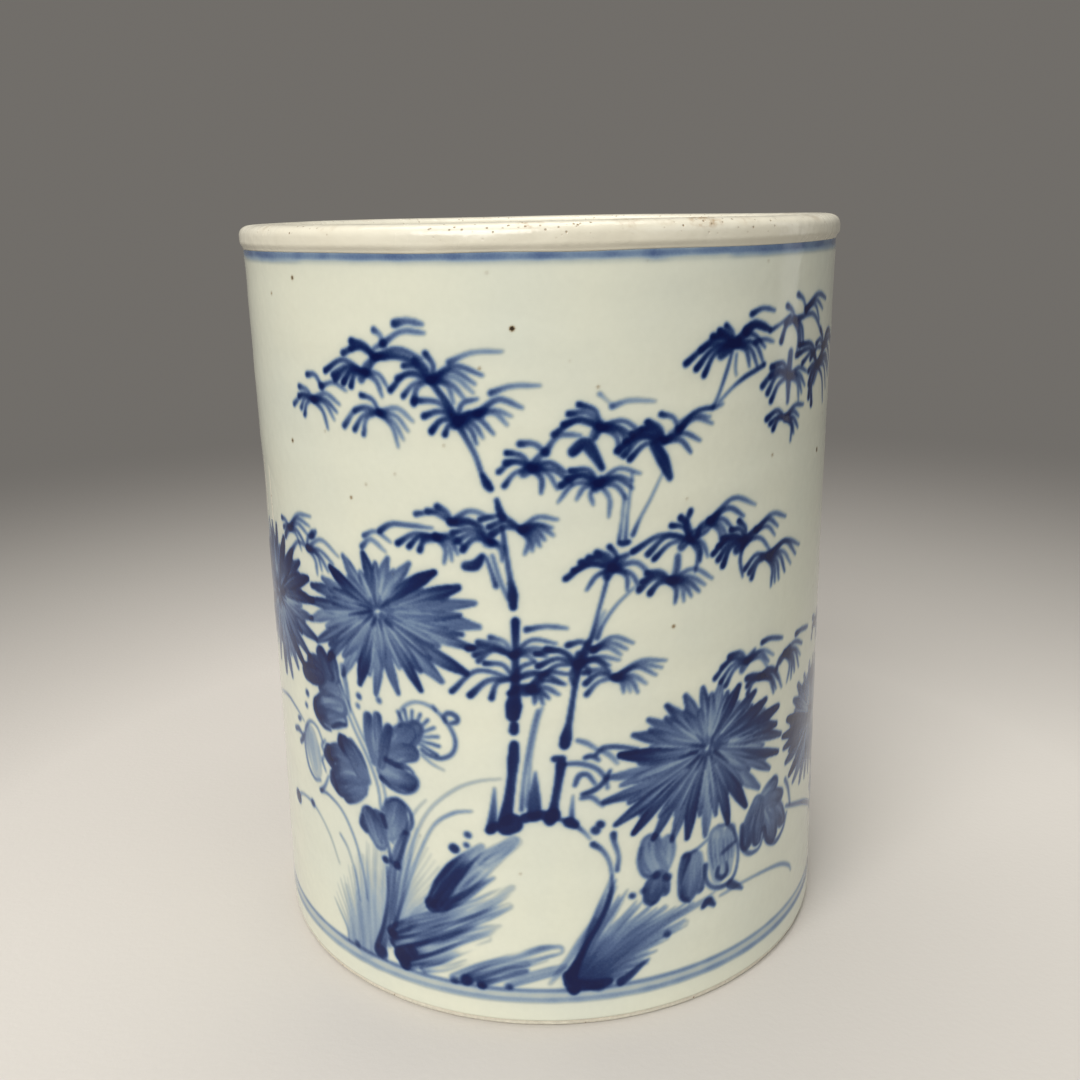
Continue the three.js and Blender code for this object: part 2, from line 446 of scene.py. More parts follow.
LONE_LEAVES = [
    ([(-21.5, 115.8), (-19.5, 116.2), (-17.0, 115.8)], 2.6, 0.65),
    ([(-13.3, 110.5), (-9.8, 111.9), (-5.4, 112.1)], 1.7, 0.5),
    ([(-7.3, 106.2), (-4.2, 107.2), (-0.2, 107.2)], 1.7, 0.45),
    ([(10.0, 103.9), (12.6, 104.6), (16.6, 104.3)], 1.4, 0.45),
    ([(8.2, 105.8), (9.2, 104.9), (10.3, 103.9)], 1.0, 0.35),
    ([(33.5, 115.6), (36.0, 116.3), (38.9, 115.8)], 2.4, 0.55),
    ([(32.4, 113.2), (34.5, 114.1), (37.9, 113.0)], 3.4, 0.85),
    ([(34.4, 111.4), (36.6, 111.7), (38.9, 111.1)], 2.0, 0.45),
    ([(-26.2, 84.6), (-24.0, 85.9), (-20.5, 86.0), (-17.0, 85.9)], 2.6, 0.5),
    ([(-29.4, 83.4), (-27.0, 84.4), (-24.2, 83.0)], 1.9, 0.5),
    ([(-29.9, 81.6), (-28.0, 83.0), (-25.3, 81.4)], 1.5, 0.45),
    ([(-3.0, 70.6), (0.0, 71.1), (3.2, 70.7)], 2.0, 0.55),
    ([(38.8, 62.4), (41.0, 62.5), (45.0, 61.4)], 2.8, 0.6),
    ([(50.2, 60.4), (52.6, 60.4), (56.4, 59.8)], 3.0, 0.6),
]

KNOTS = [
    ([(-28.0, 107.6), (-26.8, 109.3), (-24.8, 111.2)], 0.9, 2.2),
    ([(-12.9, 101.4), (-11.2, 102.8), (-8.4, 103.6)], 0.7, 1.8),
    ([(-18.6, 83.9), (-15.2, 84.7)], 0.6, 1.6),
    ([(-8.6, 84.0), (-7.2, 84.0)], 0.8, 1.8),
    ([(-11.9, 80.4), (-10.4, 80.6), (-9.3, 82.0)], 0.9, 3.6),
    ([(-4.6, 60.8), (-1.6, 60.9)], 1.2, 2.6),
    ([(4.9, 66.4), (4.6, 63.2)], 0.8, 2.4),
    ([(-2.9, 94.6), (-1.6, 95.6), (-0.4, 97.2)], 0.9, 1.8),
    ([(4.3, 97.6), (6.0, 98.8), (7.3, 97.2), (8.5, 95.0)], 1.0, 4.2),
    ([(7.3, 99.6), (8.4, 101.8)], 0.8, 2.0),
    ([(7.6, 92.0), (8.4, 93.6)], 0.8, 1.8),
    ([(16.6, 97.8), (17.9, 95.6), (19.1, 92.8)], 1.1, 4.2),
    ([(19.0, 99.2), (21.4, 100.2)], 0.7, 1.6),
    ([(27.6, 110.2), (30.6, 112.2)], 1.1, 2.4),
    ([(43.7, 109.0), (43.5, 105.5), (43.4, 101.4)], 0.9, 2.2),
    ([(9.2, 78.6), (10.6, 80.6), (12.4, 81.6)], 0.9, 2.4),
    ([(21.2, 81.8), (23.0, 83.4), (25.4, 84.0), (27.8, 86.0)], 0.9, 2.4),
    ([(20.6, 80.4), (20.4, 78.4), (19.4, 76.8)], 0.7, 1.8),
    ([(31.8, 79.6), (34.0, 80.8), (36.2, 82.2)], 1.0, 2.6),
    ([(37.8, 77.4), (40.0, 77.4), (42.6, 77.8)], 0.7, 1.6),
    ([(33.8, 59.0), (35.2, 60.4), (36.8, 61.6)], 0.9, 2.2),
    ([(35.2, 57.0), (38.0, 56.6), (41.6, 55.3)], 0.8, 2.0),
    ([(44.2, 57.3), (46.0, 58.4), (47.6, 59.1)], 0.8, 2.2),
    ([(-51.4, 79.6), (-50.0, 81.0), (-48.2, 81.8)], 0.7, 1.6),
    ([(-42.3, 81.2), (-40.8, 82.2)], 0.8, 2.2),
    ([(53.0, 103.4), (55.5, 106.0), (58.0, 108.4)], 0.9, 1.8),
]

CULMS = [
    # points, half-widths, ink
    ([(-7.0, 38.6), (-6.4, 42.0), (-5.8, 46.0), (-5.5, 49.0), (-5.3, 51.6)], [1.15, 0.8, 0.7, 0.9, 0.7],
     [4.8, 3.6, 3.4, 4.6, 4.8]),
    ([(-5.3, 54.0), (-5.2, 54.9)], [0.8, 0.7], [4.4, 4.4]),
    ([(-5.4, 56.6), (-5.2, 58.2), (-5.0, 60.0), (-4.8, 63.0), (-4.7, 68.0), (-4.6, 71.9)],
     [1.2, 1.5, 0.9, 0.6, 0.52, 0.7], [5.2, 5.2, 3.8, 3.2, 3.0, 4.8]),
    ([(-4.9, 74.2), (-4.9, 76.2), (-5.2, 78.5), (-5.7, 82.5), (-6.2, 86.5)], [0.7, 0.9, 0.5, 0.42, 0.4],
     [4.8, 4.6, 2.4, 2.2, 2.0]),
    ([(-6.1, 88.0), (-6.6, 89.3), (-6.9, 90.6)], [0.7, 0.55, 0.4], [4.0, 4.0, 3.2]),
    ([(-7.8, 92.3), (-8.3, 93.0), (-8.8, 94.2)], [0.6, 0.8, 0.45], [4.2, 4.4, 3.0]),
    ([(-8.9, 94.2), (-9.8, 97.0), (-11.1, 99.6), (-12.4, 102.0), (-13.8, 104.6), (-16.2, 107.8)],
     [0.4, 0.45, 0.5, 0.7, 0.6, 0.5], [2.2, 1.8, 2.0, 2.6, 2.6, 2.8]),
    ([(-5.6, 75.4), (-6.7, 78.2), (-7.8, 82.2)], [0.35, 0.4, 0.3], [1.6, 1.3, 1.5]),
    ([(-7.4, 77.4), (-7.9, 79.2), (-8.7, 81.8)], [0.5, 0.35, 0.3], [2.8, 2.0, 1.6]),
    ([(0.5, 39.6), (0.9, 42.0), (1.5, 45.5), (1.9, 48.2)], [0.85, 0.6, 0.6, 0.8], [4.6, 3.4, 3.6, 4.8]),
    ([(0.9, 49.2), (2.2, 49.2)], [0.5, 0.5], [3.8, 3.8]),
    ([(2.5, 51.6), (2.7, 52.6), (3.2, 55.0), (3.9, 59.5), (4.7, 64.0)], [0.85, 0.95, 0.5, 0.38, 0.45],
     [4.6, 4.4, 3.0, 2.6, 3.0]),
    ([(4.8, 64.6), (5.6, 66.4), (6.4, 68.4)], [0.8, 0.85, 0.5], [4.0, 3.6, 2.4]),
    ([(6.6, 68.4), (7.3, 71.0), (8.3, 74.6), (9.4, 78.6)], [0.4, 0.32, 0.3, 0.35], [2.2, 1.8, 1.7, 2.0]),
    ([(7.7, 68.8), (8.6, 71.0), (10.6, 73.8), (13.4, 76.4)], [0.4, 0.3, 0.28, 0.25], [2.0, 1.5, 1.2, 1.0]),
    ([(7.1, 69.2), (7.8, 71.2), (8.8, 73.0)], [0.6, 0.5, 0.4], [1.2, 0.8, 0.5]),
    ([(11.1, 83.6), (11.7, 83.4), (12.6, 83.6)], [0.4, 0.5, 0.4], [3.8, 3.6, 3.8]),
    ([(11.1, 84.0), (11.5, 87.0), (11.9, 90.8)], [0.35, 0.26, 0.26], [2.0, 1.2, 1.3]),
    ([(12.1, 84.0), (12.4, 88.0), (13.1, 94.0)], [0.32, 0.26, 0.24], [1.8, 1.1, 1.0]),
    ([(13.2, 84.6), (14.4, 87.2), (15.9, 89.8), (18.0, 93.8)], [0.42, 0.26, 0.24, 0.2],
     [2.8, 1.3, 1.0, 1.0]),
    ([(20.6, 100.9), (24.0, 102.4), (26.3, 102.5), (28.2, 102.9)], [0.35, 0.3, 0.45, 0.3],
     [1.8, 1.6, 2.2, 1.2]),
    ([(26.2, 102.4), (27.4, 104.4), (28.7, 107.4), (29.7, 110.4)], [0.35, 0.3, 0.35, 0.3],
     [1.8, 1.7, 2.2, 2.0]),
    ([(27.4, 103.2), (30.0, 105.1), (32.4, 106.4), (35.0, 107.3), (36.8, 107.9)],
     [0.25, 0.28, 0.4, 0.42, 0.4], [1.4, 1.6, 3.0, 2.8, 3.0]),
    ([(30.6, 110.0), (30.4, 108.2), (30.7, 106.9)], [0.28, 0.28, 0.25], [1.8, 1.6, 1.4]),
    ([(37.8, 112.8), (40.3, 113.6), (43.2, 114.7)], [0.4, 0.28, 0.3], [3.0, 1.8, 2.0]),
    ([(-4.4, 40.4), (-4.0, 45.0), (-3.2, 50.0), (-2.3, 54.6), (-1.5, 57.4)], [0.35, 0.3, 0.3, 0.3, 0.3],
     [1.6, 1.2, 1.2, 1.2, 1.3]),
    ([(-3.6, 41.0), (-3.1, 46.0), (-2.6, 50.6), (-1.6, 55.6), (-0.9, 57.8)],
     [0.3, 0.26, 0.26, 0.26, 0.26], [1.2, 0.8, 0.8, 0.8, 0.9]),
]

GROUND = [
    ([(-9.6, 36.5), (-8.8, 37.3)], [0.6, 0.7], [4.0, 4.0]),
    ([(-6.9, 37.4), (-5.9, 38.0)], [1.45, 1.6], [4.4, 4.4]),
    ([(-3.9, 39.0), (-1.6, 39.6), (0.2, 39.2)], [0.7, 0.65, 0.9], [4.2, 3.8, 4.4]),
    ([(0.0, 38.6), (0.6, 39.6)], [0.8, 1.0], [4.4, 4.4]),
    ([(1.2, 38.9), (2.6, 38.4)], [0.3, 0.3], [2.6, 2.4]),
    ([(3.0, 38.2), (3.8, 37.8)], [0.8, 0.7], [4.2, 4.2]),
    ([(4.0, 37.6), (5.4, 36.2), (6.3, 35.0)], [0.35, 0.26, 0.2], [2.2, 1.2, 0.8]),
    ([(-9.3, 36.8), (-8.9, 40.0), (-8.6, 44.0)], [0.75, 0.5, 0.15], [3.0, 2.0, 1.2]),
    ([(-2.4, 39.6), (-2.3, 43.0), (-2.1, 47.0)], [1.1, 0.8, 0.15], [3.0, 2.2, 1.2]),
    ([(3.4, 38.2), (3.5, 40.4), (3.7, 42.8)], [0.4, 0.3, 0.15], [2.4, 1.6, 1.0]),
]


def grow_bamboo(place):
    layer = np.zeros_like(cobalt)
    for knot, heads, tails, ink in SPRAYS:
        spray(layer, place, knot, heads, tails, ink)
    for points, ink, wide in LONE_LEAVES:
        bamboo_leaf(layer, place, points, ink, wide)
    for points, wide, ink in KNOTS:
        stroke(
            layer, placed(points, place), [wide * 0.65, wide * 0.8, wide * 0.35], ink, soft=0.5,
            grain=0.5)
    for points, wide, ink in CULMS:
        slim = np.interp(points[0][1], [50.0, 68.0], [0.85, 0.7])
        stroke(layer, placed(points, place), np.array(wide) * slim, ink, rim=0.3, grain=0.3)
    for points, wide, ink in GROUND:
        stroke(layer, placed(points, place), wide, ink, rim=0.15, grain=0.2)
    cobalt[:] += deepest(layer)


def deepest(layer, limit=7.0, ease=4.2):
    """Strokes over strokes get deeper more and more slowly, because the clay takes no more."""
    return limit * (1 - np.exp(-layer / ease))


# %% [markdown]
# ## Chrysanthemums
# Each flower is a burst of long petals. The painter pulls every petal in from its tip, so the
# tips are blunt, dark and outlined, and the colour thins towards the heart. Fine lines of bare
# white between the petals keep them apart. The petals are laid so that the denser one wins, as
# wet strokes do, and then the white lines are lifted out.

# %% Petals and flower heads
FLOWERS = [
    ((-27.6, 71.6), [
        (-25.0, 80.4), (-21.2, 80.0), (-17.0, 79.0), (-13.2, 76.9), (-10.8, 74.6), (-10.2, 70.8),
        (-11.2, 67.4), (-12.6, 63.2), (-16.6, 61.4), (-20.2, 59.4), (-24.4, 58.2), (-28.8, 57.2),
        (-32.2, 58.2), (-36.1, 58.8), (-39.6, 60.6), (-42.6, 63.0), (-44.2, 66.4), (-44.4, 69.8),
        (-43.2, 72.6), (-39.8, 74.6), (-37.6, 76.9), (-34.2, 79.4), (-29.8, 80.6)]),
    ((26.9, 47.4), [
        (25.5, 58.0), (29.2, 58.0), (33.2, 56.4), (37.2, 54.2), (40.2, 51.8), (44.2, 49.2),
        (43.6, 46.2), (45.4, 43.6), (44.6, 40.6), (42.0, 38.4), (39.0, 36.0), (35.6, 33.8),
        (31.4, 32.2), (26.6, 31.4), (23.0, 32.0), (20.2, 32.4), (16.8, 33.4), (13.4, 35.0),
        (10.4, 37.0), (8.6, 41.2), (9.4, 45.4), (11.2, 49.0), (13.4, 52.2), (15.9, 54.4),
        (19.0, 56.3), (22.3, 57.3)]),
]


def between(a, b, share):
    return (a[0] + (b[0] - a[0]) * share, a[1] + (b[1] - a[1]) * share)


def petal(layer, heart, tip, ink, wide, length=1.0):
    root, end = between(heart, tip, 0.05), between(heart, tip, length)
    bow = hand.uniform(-0.04, 0.04)
    middle = between(root, end, 0.55)
    middle = (middle[0] - bow * (end[1] - root[1]), middle[1] + bow * (end[0] - root[0]))
    widths = [wide * 0.12, wide * 0.45, wide * 0.8, wide, wide * 0.85, wide * 0.35]
    inks = [ink * 0.85, ink * 0.8, ink * 0.85, ink * 0.95, ink * 1.25, ink * 1.6]
    stroke(
        layer, [root, middle, end], widths, inks, soft=0.26, rim=0.75, grain=0.42, hairs=0.3, mode="max")


def chrysanthemum(place, heart, tips, ink=2.0):
    layer = np.zeros_like(cobalt)
    heart = placed([heart], place)[0]
    tips = placed(tips, place)
    gaps = [between(a, b, 0.5) for a, b in zip(tips, tips[1:] + tips[:1])]
    for gap in gaps:
        petal(layer, heart, gap, ink * hand.uniform(0.45, 1.0), 0.95, hand.uniform(0.66, 0.88))
    for tip in tips:
        petal(layer, heart, tip, ink * hand.choice([0.6, 0.8, 1.0, 1.2, 1.6]), hand.uniform(0.9, 1.3))
    for gap in gaps + tips[::3]:
        start, reach = hand.uniform(0.08, 0.3), hand.uniform(0.6, 0.9)
        line = [between(heart, gap, start), between(heart, gap, reach)]
        thin = hand.uniform(0.1, 0.2)
        stroke(layer, line, [thin, thin, thin * 0.4], hand.uniform(0.4, 0.75), soft=0.3, mode="lift")
    for tip in tips[::2]:
        start = hand.uniform(0.06, 0.14)
        line = [between(heart, tip, start), between(heart, tip, start + hand.uniform(0.1, 0.3))]
        stroke(layer, line, [0.3, 0.25, 0.1], ink * hand.uniform(1.0, 2.0), soft=0.3, mode="max")
    for _ in range(7):
        start = (heart[0] + hand.uniform(-1.2, 1.2), heart[1] + hand.uniform(-1.0, 1.0))
        tick = [start, (start[0] + hand.uniform(-1.2, 1.2), start[1] + hand.uniform(-1.2, 1.2))]
        stroke(layer, tick, [0.28, 0.2], ink * 1.3, soft=0.3, mode="max")
    cobalt[:] += layer


def round_flower(heart, across, up, down, count):
    """Tips of a flower that no one sees whole: an oval with an uneven edge."""
    tips = []
    for i in range(count):
        turn = -2 * math.pi * (i + 0.3 * hand.random()) / count
        high = up if math.sin(turn) > 0 else down
        far = hand.uniform(0.93, 1.05)
        tips.append((heart[0] + across * math.cos(turn) * far, heart[1] + high * math.sin(turn) * far))
    return tips


# %% [markdown]
# ## Leaves of the flowers
# These leaves are broad lobes round a double stem. Each lobe is one stroke of a fat wet brush. It
# starts with a dark rounded end at the leaf's edge and pales towards the stem, with streaks that
# follow the pull. Some lobes get a thin outline, and one leaf curls over, drawn as a comb of
# short lines inside a hooked outline.


# %% Lobes and lines
class Motif:
    """A layer for one motif, painted at one place on the wall."""

    def __init__(self, place):
        self.place = place
        self.layer = np.zeros_like(cobalt)

    def line(self, points, wide, ink, **kind):
        stroke(self.layer, placed(points, self.place), wide, ink, **kind)

    def lobe(self, points, wide, ink, dark=1.9, **kind):
        """A fat stroke from the leaf's edge to its stem."""
        widths = [wide * 0.8, wide, wide * 0.95, wide * 0.7]
        inks = [ink * dark, ink * 1.05, ink * 0.9, ink * 0.8]
        kind = {"soft": 0.35, "rim": 0.7, "grain": 0.42, "hairs": 0.42, "mode": "max", **kind}
        stroke(self.layer, placed(points, self.place), widths, inks, **kind)

    def dabs(self, spots):
        for x, z, size, ink in spots:
            dab(self.layer, self.place, x, z, size, ink)

    def done(self):
        cobalt[:] += deepest(self.layer)


def leaves_left(place):
    leaf = Motif(place)
    for aside in (0.0, 1.3):
        stem = [
            (-28.4, 31.0), (-29.0, 36.0), (-29.7, 41.0), (-31.6, 45.6), (-34.3, 50.0), (-36.8, 54.4),
            (-39.6, 60.0)
        ]
        leaf.line(
            [(x + aside, z) for x, z in stem], [0.28, 0.22, 0.28, 0.22, 0.26], [1.1, 0.8, 0.9, 0.8, 1.0])
    leaf.line([(-36.2, 60.2), (-35.4, 56.4), (-35.0, 52.4)], [0.6, 0.5, 0.2], [0.9, 0.8, 0.7], grain=0.5)
    leaf.line([(-38.4, 60.6), (-37.2, 57.0), (-35.8, 53.2)], [0.5, 0.5, 0.25], [0.7, 0.7, 0.6], grain=0.5)
    # the dark leaf at the top
    leaf.lobe([(-47.0, 56.2), (-45.2, 56.4), (-42.6, 56.6)], 1.9, 3.4, 1.1)
    leaf.lobe([(-45.2, 58.6), (-43.4, 58.6), (-41.4, 57.2)], 1.6, 2.6, 1.3)
    leaf.lobe([(-41.8, 61.0), (-40.8, 59.6), (-39.6, 57.6)], 1.6, 2.4, 1.4)
    leaf.lobe([(-38.8, 61.2), (-38.4, 59.6), (-38.0, 57.4)], 1.2, 1.8, 1.5)
    leaf.lobe([(-42.0, 54.6), (-40.2, 55.4), (-38.0, 55.4)], 1.7, 1.5, 1.5)
    leaf.lobe([(-43.4, 50.6), (-40.6, 52.0), (-37.4, 52.6)], 2.6, 1.15, 2.4)
    leaf.lobe([(-42.2, 49.6), (-39.6, 49.9), (-36.9, 50.4)], 1.7, 1.2, 1.7)
    leaf.line(
        [(-44.9, 51.6), (-44.4, 49.2), (-42.4, 47.7), (-40.4, 47.6)], [0.35, 0.5, 0.4, 0.25],
        [2.0, 3.0, 2.6, 1.8])
    leaf.line([(-39.8, 48.3), (-38.0, 49.5), (-36.0, 49.9)], [0.3, 0.35, 0.2], [1.6, 1.8, 1.4])
    # the leaf in the middle
    leaf.lobe([(-37.0, 46.2), (-35.0, 44.8), (-32.6, 41.4)], 1.9, 1.25, 1.9)
    leaf.lobe([(-35.2, 46.6), (-33.6, 44.4), (-32.0, 41.0)], 1.3, 1.3, 1.3)
    leaf.line([(-37.9, 47.4), (-38.0, 46.0), (-37.4, 45.0)], [0.4, 0.6, 0.4], [2.4, 3.4, 2.6])
    leaf.lobe([(-40.6, 43.2), (-38.2, 43.8), (-35.0, 43.2)], 1.9, 1.5, 2.0)
    leaf.line([(-41.6, 43.8), (-41.9, 42.4), (-40.9, 41.3)], [0.8, 1.1, 0.8], [3.2, 4.0, 3.4])
    leaf.lobe([(-39.2, 39.6), (-36.4, 41.0), (-33.2, 41.2)], 2.2, 1.15, 1.9)
    leaf.lobe([(-38.6, 37.4), (-36.2, 38.6), (-33.0, 39.8)], 1.9, 1.1, 1.9)
    leaf.lobe([(-36.8, 36.4), (-35.2, 37.4), (-33.0, 38.8)], 1.5, 1.2, 1.6)
    leaf.line([(-41.0, 39.4), (-40.7, 38.0), (-39.6, 36.6)], [0.5, 0.8, 0.4], [2.0, 3.0, 2.2])
    # a pale round leaf in outline
    leaf.lobe([(-47.4, 44.0), (-46.8, 41.2), (-46.0, 38.6)], 2.7, 0.5, 1.1, rim=0.2)
    leaf.line(
        [(-43.2, 44.4), (-44.8, 46.6), (-47.2, 46.9), (-49.4, 44.6), (-50.0, 41.0), (-49.0, 37.8),
         (-46.8, 36.1), (-44.8, 36.6)],
        [0.25, 0.28, 0.3, 0.3, 0.3, 0.32, 0.3], [0.9, 1.0, 1.1, 1.1, 1.3, 1.3, 1.0])
    leaf.line(
        [(-42.4, 45.0), (-43.6, 43.6), (-42.9, 42.2), (-43.8, 40.8), (-42.8, 39.0)],
        [0.25, 0.3, 0.2, 0.3, 0.2], [0.9, 1.1, 0.8, 1.2, 0.9])
    # two small leaves at the foot of the stem
    leaf.lobe([(-31.9, 34.6), (-30.9, 32.8), (-29.8, 30.2)], 2.1, 1.15, 1.4)
    leaf.lobe([(-30.0, 35.2), (-29.6, 33.0), (-29.2, 31.0)], 1.3, 1.2, 1.4)
    leaf.line([(-33.6, 34.0), (-33.7, 32.4), (-32.8, 31.4)], [0.35, 0.6, 0.4], [2.0, 2.8, 2.2])
    leaf.lobe([(-25.8, 37.4), (-26.2, 35.4), (-27.6, 32.8)], 2.4, 1.0, 1.4)
    leaf.line(
        [(-28.6, 36.6), (-27.6, 38.6), (-25.4, 39.3), (-23.4, 37.8), (-23.0, 35.4), (-24.2, 33.4)],
        [0.28, 0.3, 0.3, 0.3, 0.3, 0.25], [1.6, 1.6, 1.5, 1.7, 1.8, 1.4])
    leaf.line([(-28.9, 35.4), (-28.4, 33.6)], [0.5, 0.4], [2.4, 2.0])
    # the leaf on the right: an upright pair of lobes, a broad one and one that droops
    leaf.lobe([(-30.9, 52.6), (-30.7, 49.0), (-29.9, 45.0)], 1.15, 1.15, 1.6)
    leaf.lobe([(-28.9, 53.2), (-28.9, 50.0), (-29.0, 45.6)], 1.0, 1.2, 1.6)
    leaf.lobe([(-26.7, 51.6), (-27.6, 48.6), (-28.6, 44.6)], 1.0, 2.0, 1.3)
    leaf.line(
        [(-29.9, 52.4), (-29.8, 49.0), (-29.4, 46.0)], [0.14, 0.16, 0.1], [0.7, 0.7, 0.5], mode="lift")
    leaf.lobe([(-23.2, 51.6), (-24.8, 50.0), (-27.4, 46.8)], 2.3, 1.0, 1.4)
    leaf.lobe([(-22.6, 48.2), (-24.6, 47.8), (-27.6, 45.8)], 1.9, 1.05, 1.5)
    leaf.lobe([(-23.6, 43.0), (-25.6, 43.4), (-28.2, 43.8)], 2.1, 1.0, 1.7)
    leaf.line(
        [(-28.8, 42.4), (-26.8, 41.2), (-24.4, 40.8), (-22.4, 41.6), (-21.6, 43.2), (-22.4, 44.8)],
        [0.4, 0.35, 0.3, 0.32, 0.35, 0.2], [2.2, 1.8, 1.6, 1.7, 1.8, 1.4])
    leaf.line(
        [(-27.6, 46.0), (-25.4, 45.5), (-23.4, 45.5), (-22.4, 44.9)], [0.4, 0.45, 0.35, 0.2],
        [2.2, 2.4, 2.0, 1.4])
    # the curled leaf
    leaf.lobe([(-21.6, 52.6), (-22.8, 51.0), (-24.6, 48.6)], 1.9, 1.2, 1.2)
    for i in range(9):
        swing = math.radians(118 - 18 * i)
        near, far = (2.2 + 0.05 * i, 4.5 + 0.1 * i)
        hub = (-22.6, 51.0)
        line = [
            (hub[0] + r * math.cos(swing), hub[1] + r * math.sin(swing)) for r in (near * 0.4, near, far)
        ]
        leaf.line(line, [0.2, 0.22, 0.22], [1.0, 1.3, 2.0], mode="max")
    leaf.line(
        [(-24.5, 52.6), (-24.0, 55.4), (-21.6, 57.2), (-18.6, 56.9), (-16.2, 54.8), (-14.7, 51.8),
         (-15.2, 49.4), (-17.2, 48.2), (-19.4, 48.5), (-20.6, 49.2)],
        [0.24, 0.26, 0.24, 0.26, 0.3, 0.3, 0.32, 0.3], [1.0, 1.0, 1.0, 1.2, 1.4, 1.5, 1.6, 1.5])
    leaf.line(
        [(-16.2, 54.6), (-16.4, 55.5), (-15.6, 56.2), (-14.4, 55.8), (-14.2, 54.9), (-15.2, 54.5)],
        [0.3, 0.32, 0.36, 0.36, 0.32, 0.3], [1.5, 1.7, 1.9, 2.0, 2.0, 1.6])
    leaf.line([(-17.8, 56.4), (-18.2, 57.1)], [0.26, 0.2], [1.2, 1.0])
    leaf.line([(-20.6, 48.3), (-18.8, 47.0), (-16.8, 46.2)], [0.22, 0.2, 0.14], [0.9, 0.7, 0.6])
    # a bud on a thin stem, and loose dots
    leaf.line(
        [(-66.0, 45.6), (-62.0, 47.0), (-57.0, 48.0), (-52.6, 47.2), (-49.8, 46.0)],
        [0.28, 0.26, 0.3, 0.26, 0.2], [0.8, 0.9, 1.2, 1.0, 0.8])
    tendrils = [
        [(-54.2, 42.9), (-52.6, 43.4), (-51.0, 43.0)],
        [(-52.2, 45.6), (-51.2, 46.0)],
        [(-52.0, 41.2), (-50.9, 42.2), (-50.2, 43.4)]]
    for points in tendrils:
        leaf.line(points, [0.4, 0.5, 0.3], [2.0, 2.0, 1.6])
    leaf.line([(-45.0, 34.5), (-43.4, 36.0), (-42.0, 38.4)], [0.4, 0.28, 0.2], [1.8, 1.2, 0.9])
    leaf.dabs(
        [(-47.6, 52.0, 0.55, 2.2), (-48.1, 49.6, 0.45, 1.8), (-32.6, 55.9, 0.5, 2.0),
         (-33.0, 54.1, 0.45, 1.3), (-28.3, 56.2, 0.5, 1.6)])
    leaf.done()


